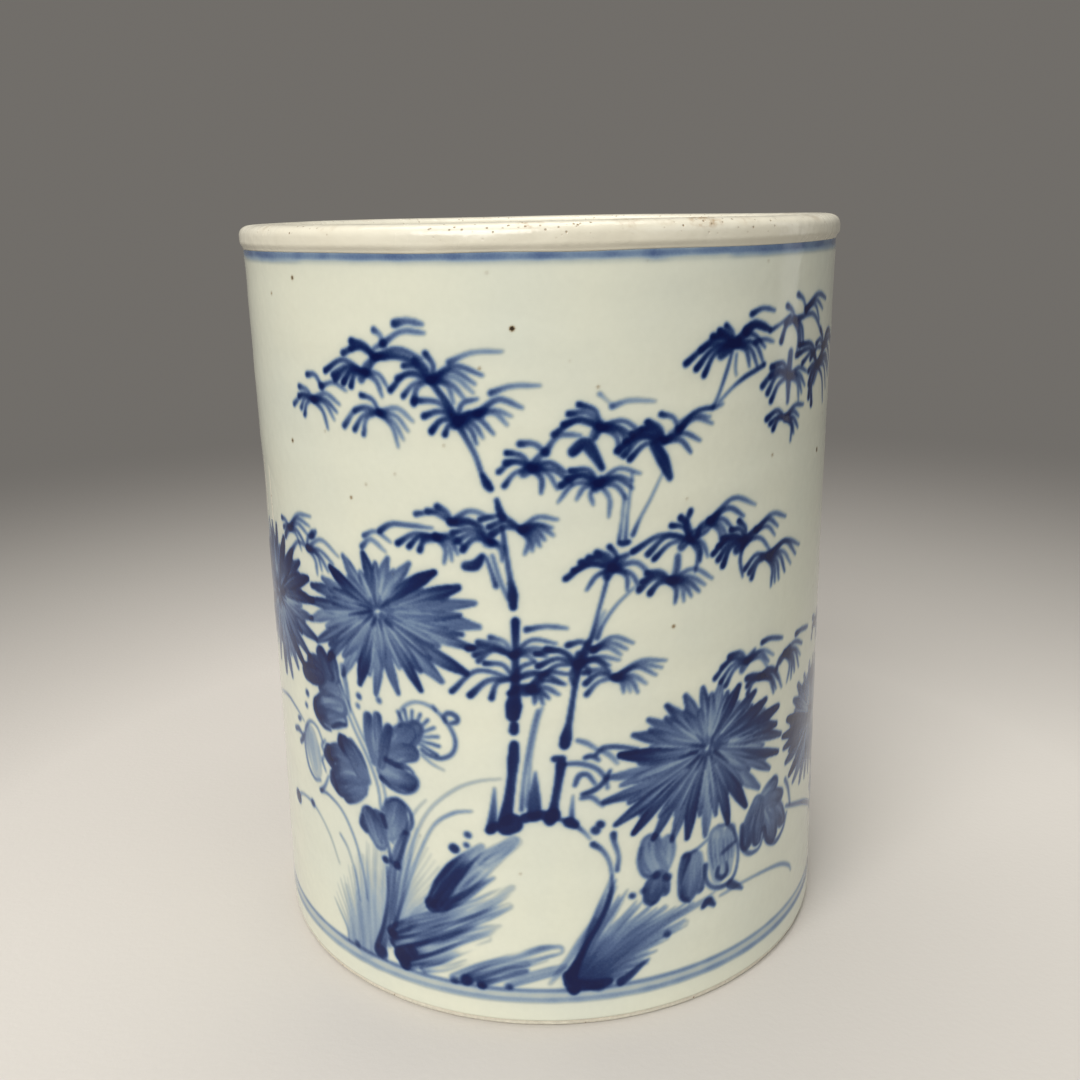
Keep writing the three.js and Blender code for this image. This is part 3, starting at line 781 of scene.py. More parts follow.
def leaves_right(place):
    leaf = Motif(place)
    leaf.lobe([(16.4, 32.6), (16.8, 30.0), (18.0, 27.4)], 2.3, 0.9, 1.4)
    leaf.lobe([(19.4, 32.4), (19.4, 30.4), (19.0, 28.0)], 1.5, 0.75, 1.2)
    leaf.line(
        [(14.6, 32.2), (14.3, 29.6), (15.2, 27.2), (17.0, 26.2)], [0.3, 0.32, 0.35, 0.3],
        [1.2, 1.5, 2.0, 2.0])
    leaf.lobe([(16.6, 22.8), (17.0, 24.4), (17.8, 26.2)], 1.9, 1.6, 1.3)
    leaf.lobe([(18.8, 23.4), (18.6, 24.6), (18.4, 26.0)], 1.2, 1.5, 1.3)
    leaf.dabs(
        [(19.3, 25.8, 0.7, 2.4), (17.4, 26.6, 0.6, 2.2), (15.1, 24.2, 0.5, 1.6), (13.2, 23.7, 0.5, 2.4)])
    leaf.lobe([(23.4, 21.6), (23.8, 24.0), (24.4, 28.0)], 1.9, 1.0, 1.5)
    leaf.lobe([(25.4, 22.0), (25.2, 24.4), (25.2, 28.0)], 1.3, 0.95, 1.5)
    leaf.line(
        [(22.8, 28.4), (22.1, 26.4), (21.6, 23.6), (22.0, 21.2), (23.6, 20.0)],
        [0.9, 0.7, 0.32, 0.35, 0.3], [2.6, 2.4, 1.7, 1.8, 1.4])
    leaf.line([(22.6, 28.8), (25.0, 29.4), (27.2, 30.6)], [0.35, 0.28, 0.25], [1.4, 1.1, 0.9])
    leaf.lobe([(29.0, 30.8), (29.2, 27.6), (29.6, 23.0)], 2.2, 0.6, 1.2, rim=0.3)
    leaf.lobe([(32.0, 30.6), (31.8, 27.4), (31.4, 23.0)], 1.5, 0.6, 1.2, rim=0.3)
    leaf.line(
        [(26.7, 25.8), (26.8, 23.2), (28.2, 21.2), (30.8, 20.5), (33.0, 21.6), (33.9, 24.6), (33.6, 28.2),
         (32.0, 31.4), (29.2, 32.4)],
        [0.45, 0.36, 0.36, 0.42, 0.32, 0.28, 0.32, 0.32, 0.22],
        [2.2, 1.9, 1.7, 2.0, 1.5, 1.3, 1.5, 1.5, 1.0])
    leaf.line(
        [(29.4, 24.4), (29.2, 23.0), (30.4, 22.2), (31.4, 23.0), (31.2, 24.8)],
        [0.35, 0.4, 0.4, 0.35, 0.25], [2.2, 2.4, 2.3, 2.0, 1.4])
    leaf.line([(30.2, 26.9), (31.4, 27.4), (33.2, 28.0)], [0.3, 0.36, 0.3], [1.4, 1.9, 1.6])
    for i in range(6):
        line = [
            (27.6 + 0.95 * i, 30.2 - 0.2 * i), (27.9 + 0.9 * i, 26.8), (28.4 + 0.8 * i, 24.6 + 0.15 * i)
        ]
        leaf.line(line, [0.16, 0.2, 0.14], [0.5, 0.8, 0.6])
    leaf.line([(26.4, 18.1), (27.5, 18.8), (28.7, 17.6)], [0.45, 0.75, 0.35], [2.8, 3.4, 2.4])
    leaf.line([(32.2, 20.3), (33.6, 19.4), (35.3, 18.1)], [0.75, 0.6, 0.2], [2.6, 2.4, 1.6])
    leaf.lobe([(36.0, 26.8), (36.8, 29.6), (38.6, 33.4)], 1.9, 1.5, 1.4)
    leaf.lobe([(38.8, 26.2), (39.2, 29.2), (39.6, 33.0)], 1.5, 1.5, 1.3)
    leaf.lobe([(43.6, 35.0), (41.8, 34.2), (39.8, 33.2)], 1.7, 1.1, 1.6)
    leaf.lobe([(45.6, 31.6), (43.4, 32.2), (40.6, 32.6)], 1.8, 1.2, 1.6)
    leaf.lobe([(43.4, 25.2), (43.0, 28.0), (41.4, 31.4)], 2.2, 1.2, 1.5)
    leaf.lobe([(46.6, 26.6), (45.2, 28.8), (42.4, 31.4)], 1.9, 1.15, 1.6)
    leaf.line(
        [(40.8, 27.4), (41.9, 24.6), (44.6, 23.1), (47.4, 24.4), (48.8, 27.0)],
        [0.5, 0.42, 0.42, 0.35, 0.25], [2.2, 1.9, 1.8, 1.6, 1.2])
    leaf.line(
        [(34.8, 30.4), (34.8, 26.8), (36.6, 24.4), (39.4, 24.2), (40.6, 26.0)],
        [0.4, 0.42, 0.42, 0.3, 0.25], [1.9, 1.9, 1.8, 1.6, 1.4])
    leaf.line([(47.6, 34.0), (49.2, 31.4), (50.2, 28.0)], [0.4, 0.36, 0.3], [1.6, 1.4, 1.2])
    leaf.line(
        [(48.4, 28.4), (53.0, 26.6), (58.6, 24.2), (65.0, 20.4), (71.0, 15.6)],
        [0.32, 0.4, 0.46, 0.46, 0.3], [1.1, 1.6, 2.0, 2.0, 1.5])
    leaf.lobe([(66.6, 28.6), (66.8, 26.0), (66.4, 21.6)], 2.0, 1.1, 1.6)
    leaf.lobe([(70.8, 26.2), (69.2, 24.4), (67.0, 21.0)], 1.9, 1.2, 1.5)
    leaf.lobe([(77.6, 20.0), (74.8, 19.2), (70.6, 17.2)], 2.1, 1.1, 1.6)
    leaf.lobe([(77.4, 14.6), (75.0, 15.4), (71.4, 15.8)], 1.8, 1.2, 1.5)
    leaf.lobe([(71.0, 9.6), (71.0, 12.0), (70.8, 14.8)], 1.8, 1.0, 1.5)
    leaf.line(
        [(80.0, 17.4), (79.4, 13.6), (76.8, 12.0), (74.2, 12.6)], [0.3, 0.36, 0.4, 0.3],
        [1.3, 1.8, 1.8, 1.4])
    leaf.dabs([(64.2, 24.6, 0.5, 2.0), (73.9, 22.6, 0.55, 2.2), (68.4, 12.4, 0.5, 2.0)])
    leaf.line(
        [(30.0, 18.9), (36.0, 19.3), (42.0, 18.7), (47.0, 17.4), (50.4, 15.4), (51.6, 13.8)],
        [0.26, 0.26, 0.28, 0.34, 0.32, 0.2], [0.6, 0.7, 0.8, 1.0, 1.1, 0.8])
    # curls between the bamboo and the flower
    curls = [
        ([(4.5, 52.2), (6.0, 51.6), (7.6, 50.4)], 1.1),
        ([(7.4, 49.6), (8.6, 50.6), (11.0, 50.5), (14.0, 49.7)], 1.9),
        ([(8.2, 50.2), (9.6, 49.2), (10.8, 47.7)], 1.1),
        ([(2.6, 48.3), (5.0, 48.2), (7.4, 47.2), (8.8, 45.4), (9.2, 43.6)], 1.6),
        ([(4.0, 44.6), (4.7, 46.2), (6.0, 46.3), (7.2, 44.6)], 1.8),
        ([(5.2, 42.9), (7.0, 43.5), (8.4, 44.6), (9.6, 46.6)], 2.2),
        ([(5.0, 42.2), (6.6, 42.3), (7.6, 41.4), (8.4, 40.6)], 1.4),
        ([(5.6, 49.2), (6.8, 49.4), (7.8, 48.6)], 2.4),
    ]
    for points, ink in curls:
        leaf.line(points, [0.28, 0.4, 0.34, 0.26], [ink * 1.2, ink, ink, ink * 0.8])
    leaf.done()


# %% [markdown]
# ## The rock and the grasses
# The rock is left white and only its shaded side is painted, with a brush that is loaded at its
# foot and dragged up until it runs dry. A single dark line gives the lit side. The grasses are
# many thin strokes that fan out from one foot. Their feet get extra dark dabs, which ties them to
# the line under them.


# %% Rock, tuft and tall grass
DRAGGED_WASH = {"grain": 0.6, "hairs": 0.5, "rim": 0.0}
DRAGGED = {"grain": 0.9, "hairs": 0.34, "rim": 0.5, "soft": 0.4}


def rock(place):
    stone = Motif(place)
    # the bold side
    stone.line(
        [(-19.8, 21.2), (-17.8, 25.0), (-15.6, 28.4), (-13.2, 31.2), (-11.0, 33.4)],
        [1.2, 1.7, 1.6, 1.1, 0.6], [2.88, 2.64, 2.24, 1.44, 0.94], **DRAGGED)
    stone.line(
        [(-18.4, 21.4), (-15.2, 25.2), (-12.2, 28.6), (-9.0, 32.0), (-5.8, 35.0)],
        [1.3, 1.7, 1.8, 1.6, 0.9], [1.44, 0.94, 0.68, 0.43, 0.29], **DRAGGED)
    stone.line(
        [(-10.4, 31.0), (-7.6, 33.0), (-5.2, 34.8)], [1.5, 1.4, 0.8], [0.43, 0.36, 0.25], **DRAGGED)
    stone.line(
        [(-17.6, 21.6), (-14.4, 23.8), (-11.4, 26.4), (-9.2, 28.0)], [0.9, 0.8, 0.55, 0.3],
        [2.24, 1.58, 1.15, 0.72], **DRAGGED)
    # the folds below it
    stone.line(
        [(-28.2, 13.8), (-24.0, 16.4), (-18.8, 19.0), (-13.4, 21.6), (-9.0, 24.4), (-6.2, 26.4)],
        [0.9, 1.3, 1.5, 1.5, 1.2, 0.7], [1.8, 1.1, 0.92, 0.58, 0.34, 0.23], dry=0.5, **DRAGGED)
    stone.line(
        [(-27.2, 11.6), (-21.6, 14.4), (-15.6, 18.0), (-10.4, 21.0), (-6.8, 23.0)],
        [1.2, 1.4, 1.3, 1.0, 0.6], [1.9, 1.2, 0.98, 0.69, 0.29], dry=0.5, **DRAGGED)
    stone.line(
        [(-26.0, 10.0), (-20.8, 12.8), (-15.2, 16.0), (-10.8, 18.0), (-8.4, 19.0)],
        [1.5, 1.5, 1.2, 1.0, 0.6], [2.2, 1.3, 0.69, 0.4, 0.23], dry=0.5, **DRAGGED)
    stone.line(
        [(-24.6, 8.6), (-19.6, 11.2), (-14.6, 14.4), (-10.4, 16.6)], [1.1, 1.2, 1.1, 0.7],
        [1.9, 0.92, 0.4, 0.2], dry=0.5, **DRAGGED)
    stone.line(
        [(-22.0, 8.4), (-18.0, 9.8), (-14.0, 12.0)], [0.8, 0.8, 0.5], [1, 0.58, 0.23], dry=0.6, **DRAGGED)
    stone.line(
        [(-16.4, 8.0), (-12.0, 10.2), (-6.6, 12.4), (-1.4, 14.4), (1.0, 15.0)], [0.9, 1.4, 1.6, 1.5, 0.9],
        [0.92, 0.75, 0.7, 0.65, 0.45], dry=0.4, **DRAGGED)
    stone.line(
        [(-14.4, 8.2), (-10.8, 10.2), (-7.2, 11.8), (-4.0, 12.4)], [1.0, 1.0, 0.8, 0.5],
        [2, 1.2, 0.81, 0.52], **DRAGGED)
    stone.line(
        [(-11.8, 7.9), (-8.6, 9.2), (-5.6, 10.4), (-4.2, 11.0)], [0.7, 0.6, 0.55, 0.4], [2, 1, 1.3, 1.3],
        **DRAGGED)
    stone.line(
        [(-7.4, 8.0), (-3.6, 9.8), (0.0, 11.0), (2.0, 11.8)], [0.6, 0.9, 0.9, 0.5], [0.6, 0.55, 0.5, 0.3],
        **DRAGGED)
    stone.dabs([
        (-26.2, 9.6, 1.5, 4.0), (-25.8, 8.2, 1.0, 4.4), (-27.9, 13.4, 0.8, 3.6), (-24.2, 11.2, 1.0, 2.6),
        (-14.2, 8.2, 0.8, 3.4),
        (-11.7, 7.5, 0.6, 3.4), (-7.0, 7.8, 0.45, 1.6), (-16.4, 7.7, 0.5, 1.4), (-20.2, 21.6, 0.9, 2.6),
        (-13.2, 35.3, 0.55, 2.4),
        (-13.5, 33.4, 0.45, 2.0), (-15.6, 32.5, 0.75, 3.6), (7.2, 36.4, 0.65, 3.2),
        (8.0, 37.4, 0.6, 3.4)])
    # the lit side, and the stem beside it
    stone.line(
        [(6.8, 34.0), (8.2, 32.8), (9.3, 30.8), (9.8, 28.2), (9.7, 25.4), (9.0, 22.4), (7.6, 19.4),
         (5.8, 16.2), (4.2, 12.8), (3.0, 10.2)],
        [0.45, 0.32, 0.28, 0.26, 0.32, 0.36, 0.34, 0.4, 0.5, 0.9],
        [3.0, 1.7, 1.3, 1.3, 2.0, 2.8, 2.4, 2.6, 3.2, 4.0])
    stone.line(
        [(7.0, 20.2), (4.8, 16.8), (2.6, 13.2), (0.8, 10.4), (-0.4, 8.6)], [0.4, 0.5, 0.5, 0.5, 0.3],
        [0.6, 0.8, 0.8, 0.8, 0.5], soft=0.5)
    stone.line([(2.6, 10.0), (3.0, 8.8), (3.5, 7.2)], [0.9, 1.15, 0.8], [4.0, 4.4, 4.4])
    stone.line(
        [(10.1, 35.4), (10.2, 34.0), (10.9, 31.4), (10.7, 28.8)], [0.45, 0.36, 0.3, 0.35],
        [3.0, 1.6, 1.3, 2.0])
    stone.done()


def tuft(place):
    grass = Motif(place)
    tips = [
        (10.6, 27.2), (12.2, 24.6), (14.6, 22.6), (17.4, 21.6), (20.6, 20.8), (24.6, 19.4), (28.4, 19.8),
        (22.0, 18.0), (24.8, 16.6), (19.6, 15.0), (17.0, 12.6), (16.0, 11.0), (13.4, 9.4)]
    for i, tip in enumerate(tips):
        foot = (3.4 + 0.35 * i, 9.6 - 0.16 * i)
        for _ in range(3):
            out_to = tip[0] * hand.uniform(0.86, 1.03) + hand.uniform(-0.5, 0.5)
            aside = (out_to, tip[1] * hand.uniform(0.94, 1.04))
            middle = ((foot[0] + aside[0]) / 2, (foot[1] + aside[1]) / 2 + 0.1 * (aside[0] - foot[0]))
            grass.line(
                [foot, middle, aside], [0.6, 0.5, 0.42, 0.14], [2.2, 1.35, 1.0, 0.75], mode="max",
                grain=0.5)
        middle = ((foot[0] + tip[0]) / 2, (foot[1] + tip[1]) / 2 + 0.1 * (tip[0] - foot[0]))
        grass.line(
            [foot, middle, between(middle, tip, 0.8)], [1.1, 1.0, 0.5], [1.5, 0.7, 0.4], mode="max",
            dry=0.4, grain=0.6)
    grass.line(
        [(11.2, 7.9), (12.6, 8.6), (14.6, 10.2), (16.0, 11.1)], [0.7, 0.6, 0.4, 0.2],
        [3.6, 3.0, 2.2, 1.6])
    grass.line([(4.6, 8.2), (7.0, 8.0), (9.2, 8.3)], [1.0, 0.8, 0.6], [3.6, 3.2, 3.0])
    grass.dabs([(19.4, 15.1, 0.6, 2.0)])
    grass.done()


def tall_grass(place):
    grass = Motif(place)
    blade = {"mode": "max", "grain": 0.45, "soft": 0.3, "hairs": 0.3}
    for i in range(24):
        foot = -38.9 + 0.4 * i
        lean = -3.4 + 0.24 * i + hand.uniform(-0.4, 0.4)
        top = min(15.5 + 0.85 * i, 29.5) + hand.uniform(-1.5, 1.5)
        line = [(foot, 7.6), (foot + 0.12 * lean, (8 + top) / 2 - 1), (foot + lean, top)]
        grass.line(
            line, [0.28, 0.3, 0.26, 0.1], np.array([0.5, 0.42, 0.35, 0.3]) * hand.uniform(0.7, 1.35),
            **blade)
    grass.line(
        [(-38.0, 8.0), (-37.6, 13.0), (-38.6, 18.0)], [1.3, 1.6, 1.0], [0.12, 0.1, 0.07], soft=0.8,
        **DRAGGED_WASH)
    grass.line(
        [(-34.4, 8.0), (-34.0, 16.0), (-34.4, 25.0)], [2.2, 2.6, 1.6], [0.12, 0.1, 0.07], soft=0.8,
        **DRAGGED_WASH)
    for i in range(16):
        foot = (-28.9 + 0.36 * i, 10.5 + 0.4 * i)
        tip = (-23.4 + 0.62 * i, 37.0 - 1.05 * i)
        middle = (foot[0] + 1.5, (foot[1] + tip[1]) / 2 - 1.0)
        grass.line(
            [foot, middle, tip], [0.3, 0.28, 0.12], np.array([0.6, 0.45, 0.32]) * hand.uniform(0.7, 1.3),
            **blade)
    thin = {"grain": 0.25}
    grass.line(
        [(-44.8, 34.6), (-42.2, 34.7), (-38.6, 33.0), (-35.8, 29.0), (-34.2, 24.0), (-33.4, 18.0)],
        [0.32, 0.25, 0.25, 0.22, 0.18], [1.2, 0.8, 0.8, 0.7, 0.6], **thin)
    grass.line(
        [(-55.2, 29.0), (-53.0, 30.4), (-49.0, 30.7), (-45.4, 29.2), (-42.4, 26.2), (-40.4, 22.2)],
        [0.32, 0.26, 0.26, 0.22, 0.2, 0.18], [1.3, 0.8, 0.8, 0.5, 0.5, 0.4], **thin)
    grass.line(
        [(-39.6, 28.3), (-37.6, 26.2), (-36.2, 22.4), (-35.2, 17.0)], [0.22, 0.22, 0.2, 0.16],
        [0.8, 0.7, 0.6, 0.5], **thin)
    grass.line(
        [(-28.6, 12.0), (-25.6, 20.4), (-22.4, 29.0), (-19.2, 35.8), (-15.6, 38.8), (-12.4, 39.6)],
        [0.32, 0.28, 0.26, 0.24, 0.26, 0.18], [1.2, 0.8, 0.7, 0.7, 0.9, 0.8], **thin)
    grass.line(
        [(-27.4, 15.0), (-24.8, 25.0), (-22.6, 33.0), (-19.6, 38.8), (-15.2, 43.0), (-11.2, 45.0),
         (-7.6, 45.7)],
        [0.32, 0.28, 0.26, 0.24, 0.24, 0.2, 0.16], [1.1, 0.7, 0.6, 0.6, 0.6, 0.6, 0.5], **thin)
    grass.line(
        [(-27.8, 16.0), (-25.6, 27.0), (-24.0, 34.4), (-22.2, 38.0), (-20.2, 40.4)],
        [0.32, 0.26, 0.22, 0.18, 0.14], [0.9, 0.6, 0.5, 0.5, 0.4], **thin)
    grass.line(
        [(-31.2, 8.8), (-29.6, 13.6), (-28.2, 19.6), (-27.4, 25.4), (-26.4, 30.0), (-24.4, 33.6)],
        [1.2, 0.9, 0.8, 0.8, 0.5, 0.35], [1.8, 1.1, 0.9, 1.0, 1.2, 1.6], grain=0.5)
    grass.line(
        [(-31.6, 9.6), (-29.8, 14.4), (-28.7, 19.6), (-28.5, 26.0)], [0.5, 0.32, 0.26, 0.18],
        [2.0, 1.6, 1.2, 1.0], **thin)
    grass.line([(-26.2, 27.4), (-25.0, 30.8), (-23.8, 33.4)], [0.4, 0.36, 0.26], [2.4, 2.0, 1.6], **thin)
    grass.line([(-27.6, 27.2), (-28.0, 30.8)], [0.32, 0.2], [2.0, 1.4], **thin)
    grass.dabs([
        (-55.4, 28.8, 1.2, 3.0), (-48.4, 30.6, 0.7, 2.0), (-28.7, 27.3, 0.6, 3.0),
        (-26.4, 26.9, 0.65, 3.4), (-36.6, 7.8, 0.6, 1.4),
        (-30.8, 8.8, 1.2, 2.0)])
    grass.done()


# %% [markdown]
# ## The ring lines
# The painter turns the pot on a wheel and holds the brush still, so the lines go all the way
# round. They wander by up to a quarter of a millimetre, swell and fade. At the lip a full line
# has a pale one under it, and at the foot two lines have a wash between them.


# %% Ring lines
def wander(amount, seed):
    """A slow wave round the pot, in millimetres."""
    turn = 2 * math.pi * np.arange(COLUMNS) / COLUMNS
    dice = np.random.default_rng(seed)
    waves = [dice.normal() / n * np.sin(n * turn + dice.uniform(0, 6.28)) for n in range(1, 9)]
    return amount * sum(waves)


def flicker(seed, knots=164):
    """A quick change round the pot, between 0 and 1."""
    values = np.random.default_rng(seed).random(knots)
    place = np.arange(COLUMNS) * knots / COLUMNS
    return np.interp(place, np.arange(knots + 1), np.r_[values, values[:1]])


def ring(height, half, ink, soft=0.35):
    z = (BARE_FOOT + np.arange(CELLS_UP + 1) * PITCH_Z)[:, None]
    cobalt[:] += soft_step((half - np.abs(z - height)) / soft + 0.5) * ink


def ring_lines():
    turn = 2 * math.pi * np.arange(COLUMNS) / COLUMNS
    lead = wander(0.06, 3)
    broken = soft_step((flicker(5, 40) + wander(0.35, 6) - 0.1) * 3)
    ring(LIP_BOTTOM - 0.5 + lead, 0.46 + 0.12 * flicker(1), 1.2 + 0.6 * flicker(2))
    pale = (0.65 + 0.3 * flicker(7)) * (0.35 + 0.65 * broken)
    ring(LIP_BOTTOM - 1.3 + lead + wander(0.05, 4), 0.42, pale, soft=0.6)
    worn = 0.5 + 0.5 * np.sin(turn + 2.1)
    ring(5.3 + wander(0.06, 8), 0.42 + 0.12 * flicker(9), 0.55 + 1.3 * worn + 0.3 * flicker(10))
    ring(7.3 + wander(0.07, 12), 0.26 + 0.12 * flicker(13), 0.45 + 0.9 * (1 - worn) + 0.3 * flicker(14))
    ring(6.3 + wander(0.05, 15), 0.95, 0.34 + 0.14 * flicker(16), soft=0.6)


# %% [markdown]
# ## Painting the pot
# The garden covers the front. The back isn't known, so the same garden is painted there again,
# with the hand's own differences, and each side has a high flower beside a low one. The clay
# drinks the edge of each stroke, so the finished field is blurred a little, with a faint wide
# halo where the glaze has carried the blue.


# %% The whole painting
def blur(field, spread):
    """A round blur, in cells, that runs through the joint at the back."""
    reach = int(3 * spread) + 1
    shifts = range(-reach, reach + 1)
    weight = np.exp(-0.5 * (np.arange(-reach, reach + 1) / spread) ** 2)
    weight /= weight.sum()
    round_wall = sum(w * np.roll(field, s, axis=1) for w, s in zip(weight, shifts))
    tall = np.pad(round_wall, ((reach, reach), (0, 0)), mode="edge")
    return sum(w * tall[reach + s : reach + s + len(field)] for w, s in zip(weight, shifts))


SIDE_FLOWERS = [
    # heart, reach to the side, up and down
    ((-58.4, 67.4), 15.6, 12.6, 14.6),
    ((61.2, 41.2), 14.8, 11.4, 12.6),
]


def paint_garden(place):
    for heart, tips in FLOWERS:
        chrysanthemum(place, heart, tips)
    for heart, across, up, down in SIDE_FLOWERS:
        chrysanthemum(place, heart, round_flower(heart, across, up, down, 25), 2.4)
    tall_grass(place)
    tuft(place)
    leaves_left(place)
    leaves_right(place)
    rock(place)
    grow_bamboo(place)


FRONT = 0.0
BACK = ROUND / 2 - 3.0
paint_garden(FRONT)
paint_garden(BACK)
ring_lines()
cobalt = blur(cobalt, 0.8)
cobalt = cobalt + 0.1 * blur(cobalt, 3)
print("densest cobalt", round(float(cobalt.max()), 2))

# %% [markdown]
# ## Iron specks
# Porcelain clay keeps a few grains of iron. Each burns through the glaze as a dark brown point.
# They go into a second field, laid out like the first.

# %% Specks on the wall
SPECKS = [
    (-4.0, 115.2, 0.2, 3.0), (-41.9, 121.8, 0.18, 2.0), (-49.2, 119.2, 0.14, 1.2),
    (-45.9, 96.3, 0.2, 1.5),
    (-31.5, 89.2, 0.16, 1.2), (57.0, 91.3, 0.3, 1.6), (39.7, 93.5, 0.14, 1.0), (20.0, 69.3, 0.2, 1.2),
    (8.0, 106.8, 0.14, 0.9), (-8.8, 109.7, 0.14, 0.9), (102.0, 61.0, 0.25, 2.2), (-118.0, 98.0, 0.2, 1.8),
    (128.0, 118.0, 0.16, 1.4), (-96.0, 30.0, 0.22, 2.0), (158.0, 44.0, 0.2, 1.6),
    (-146.0, 117.0, 0.26, 2.2),
]
iron = np.zeros_like(cobalt)
for x, z, size, ink in SPECKS:
    dab(iron, FRONT, x, z, size, ink)
for _ in range(60):
    x, z = hand.uniform(-ROUND / 2, ROUND / 2), hand.uniform(2, 124)
    dab(iron, FRONT, x, z, hand.uniform(0.08, 0.16), hand.uniform(0.2, 0.6))
iron = blur(iron, 0.5)

# %% [markdown]
# ## The painted wall
# The field has a value every quarter of a millimetre, and the wall's mesh has to carry it on its
# corners. An even grid would need 650,000 quads, most of them on bare white. So the wall is cut
# like a quilt: a large square where the blue doesn't change, four smaller ones where it does, and
# so on down to one cell. A square may only stay large if the squares round it could stay large
# too, so neighbours never differ by more than one step and the faces meet corner to corner.


# %% Cut the wall into squares
def detail(field, tolerance=0.03):
    """Which cells of the field change more than the tolerance from corner to corner."""
    low, high = field[:-1], field[:-1]
    for part in (field[1:], np.roll(field, -1, 1)[:-1], np.roll(field, -1, 1)[1:]):
        low, high = np.minimum(low, part), np.maximum(high, part)
    return high - low > tolerance


def quilt(busy):
    """Squares as (row, column, size) that cover the cells, small where they are busy."""
    free = {}
    size = 1
    level = busy
    while size <= BLOCK:
        tall = np.pad(level, ((1, 1), (0, 0)), mode="edge")
        near = tall[:-2] | tall[1:-1] | tall[2:]
        free[size] = ~(near | np.roll(near, 1, 1) | np.roll(near, -1, 1))
        level = level[0::2] | level[1::2] if size < BLOCK else level
        level = level[:, 0::2] | level[:, 1::2] if size < BLOCK else level
        size *= 2
    squares = []
    open_cells = np.ones_like(free[BLOCK])
    for size in (16, 8, 4, 2, 1):
        kept = open_cells & (free[size] if size > 1 else True)
        rows, columns = np.nonzero(kept)
        squares.append(np.column_stack([rows * size, columns * size, np.full(len(rows), size)]))
        open_cells = np.repeat(np.repeat(open_cells & ~kept, 2, 0), 2, 1)
    return np.vstack(squares)


busy = detail(cobalt) | detail(iron, 0.1)
busy[:2] = busy[-2:] = True
squares = quilt(busy)
print(len(squares), "squares instead of", cobalt[:-1].size)


# %% [markdown]
# The squares become faces. A large square beside two small ones has their shared corner in the
# middle of its side, and the face takes that corner in too, so the surface has no cracks. The
# shell is closed behind by the face of the clay, with nine even rings of corners. The bottom edge
# of the glaze is rounded in, as it is where a glaze has been wiped.


# %% The mesh of the painted wall
INNER_RINGS = 9
EDGE_IN = 0.34
EDGE_UP = 0.5


def wall_mesh(name):
    used = np.zeros(cobalt.shape, bool)
    row, column, size = squares.T
    for up in (0, 1):
        for aside in (0, 1):
            used[row + up * size, (column + aside * size) % COLUMNS] = True
    ids = np.cumsum(used.ravel()).reshape(used.shape) - 1
    at_row, at_column = np.nonzero(used)
    half = size // 2
    steps = [(0, 0), (0, 1), (0, 2), (1, 2), (2, 2), (2, 1), (2, 0), (1, 0)]
    rim = np.empty((len(squares), 8), int)
    keep = np.ones((len(squares), 8), bool)
    for k, (up, aside) in enumerate(steps):
        r = row + (up * half if up == 1 else up // 2 * size)
        c = (column + (aside * half if aside == 1 else aside // 2 * size)) % COLUMNS
        rim[:, k] = ids[r, c]
        if up == 1 or aside == 1:
            keep[:, k] = (size > 1) & used[r, c]
    turn = (at_column * PITCH_X - ROUND / 2) / BODY_RADIUS
    z = BARE_FOOT + at_row * PITCH_Z
    into_edge = np.clip((BARE_FOOT + EDGE_UP - z) / EDGE_UP, 0, 1)
    rounded = EDGE_IN * (1 - np.sqrt(1 - into_edge**2))
    radius = glaze_radius(z) + unevenness(turn, z) - rounded
    outside = corner(radius, turn, z)
    ring_turn = (np.arange(COLUMNS) * PITCH_X - ROUND / 2) / BODY_RADIUS
    levels = np.linspace(BARE_FOOT, LIP_BOTTOM, INNER_RINGS)
    inner = [corner(clay_radius(z) + 0 * ring_turn, ring_turn, z + 0 * ring_turn) for z in levels]
    behind = [len(outside) + k * COLUMNS + np.arange(COLUMNS) for k in range(INNER_RINGS)]
    rings = [ids[0]] + behind + [ids[-1]]
    points = np.vstack([outside] + inner)
    after = np.roll(np.arange(COLUMNS), -1)
    back = [np.column_stack([low[after], low, high, high[after]]) for low, high in zip(rings, rings[1:])]
    loops = np.concatenate([rim[keep]] + [b.ravel() for b in back])
    sides = np.concatenate([keep.sum(1)] + [np.full(len(b), 4) for b in back])
    mesh = bpy.data.meshes.new(name)
    mesh.vertices.add(len(points))
    mesh.vertices.foreach_set("co", points.ravel())
    mesh.loops.add(len(loops))
    mesh.loops.foreach_set("vertex_index", loops)
    mesh.polygons.add(len(sides))
    mesh.polygons.foreach_set("loop_start", np.r_[0, np.cumsum(sides)[:-1]])
    mesh.update(calc_edges=True)
    mesh.validate()
    values = np.r_[cobalt[at_row, at_column], np.zeros(INNER_RINGS * COLUMNS)]
    spots = np.r_[iron[at_row, at_column], np.zeros(INNER_RINGS * COLUMNS)]
    for title, value in (("cobalt", values), ("iron", spots)):
        mesh.attributes.new(title, "FLOAT", "POINT").data.foreach_set("value", value.astype(np.float32))
    unroll(mesh, sides, len(squares), points, loops)
    print(name, len(mesh.vertices), "corners", len(mesh.polygons), "faces")
    return mesh


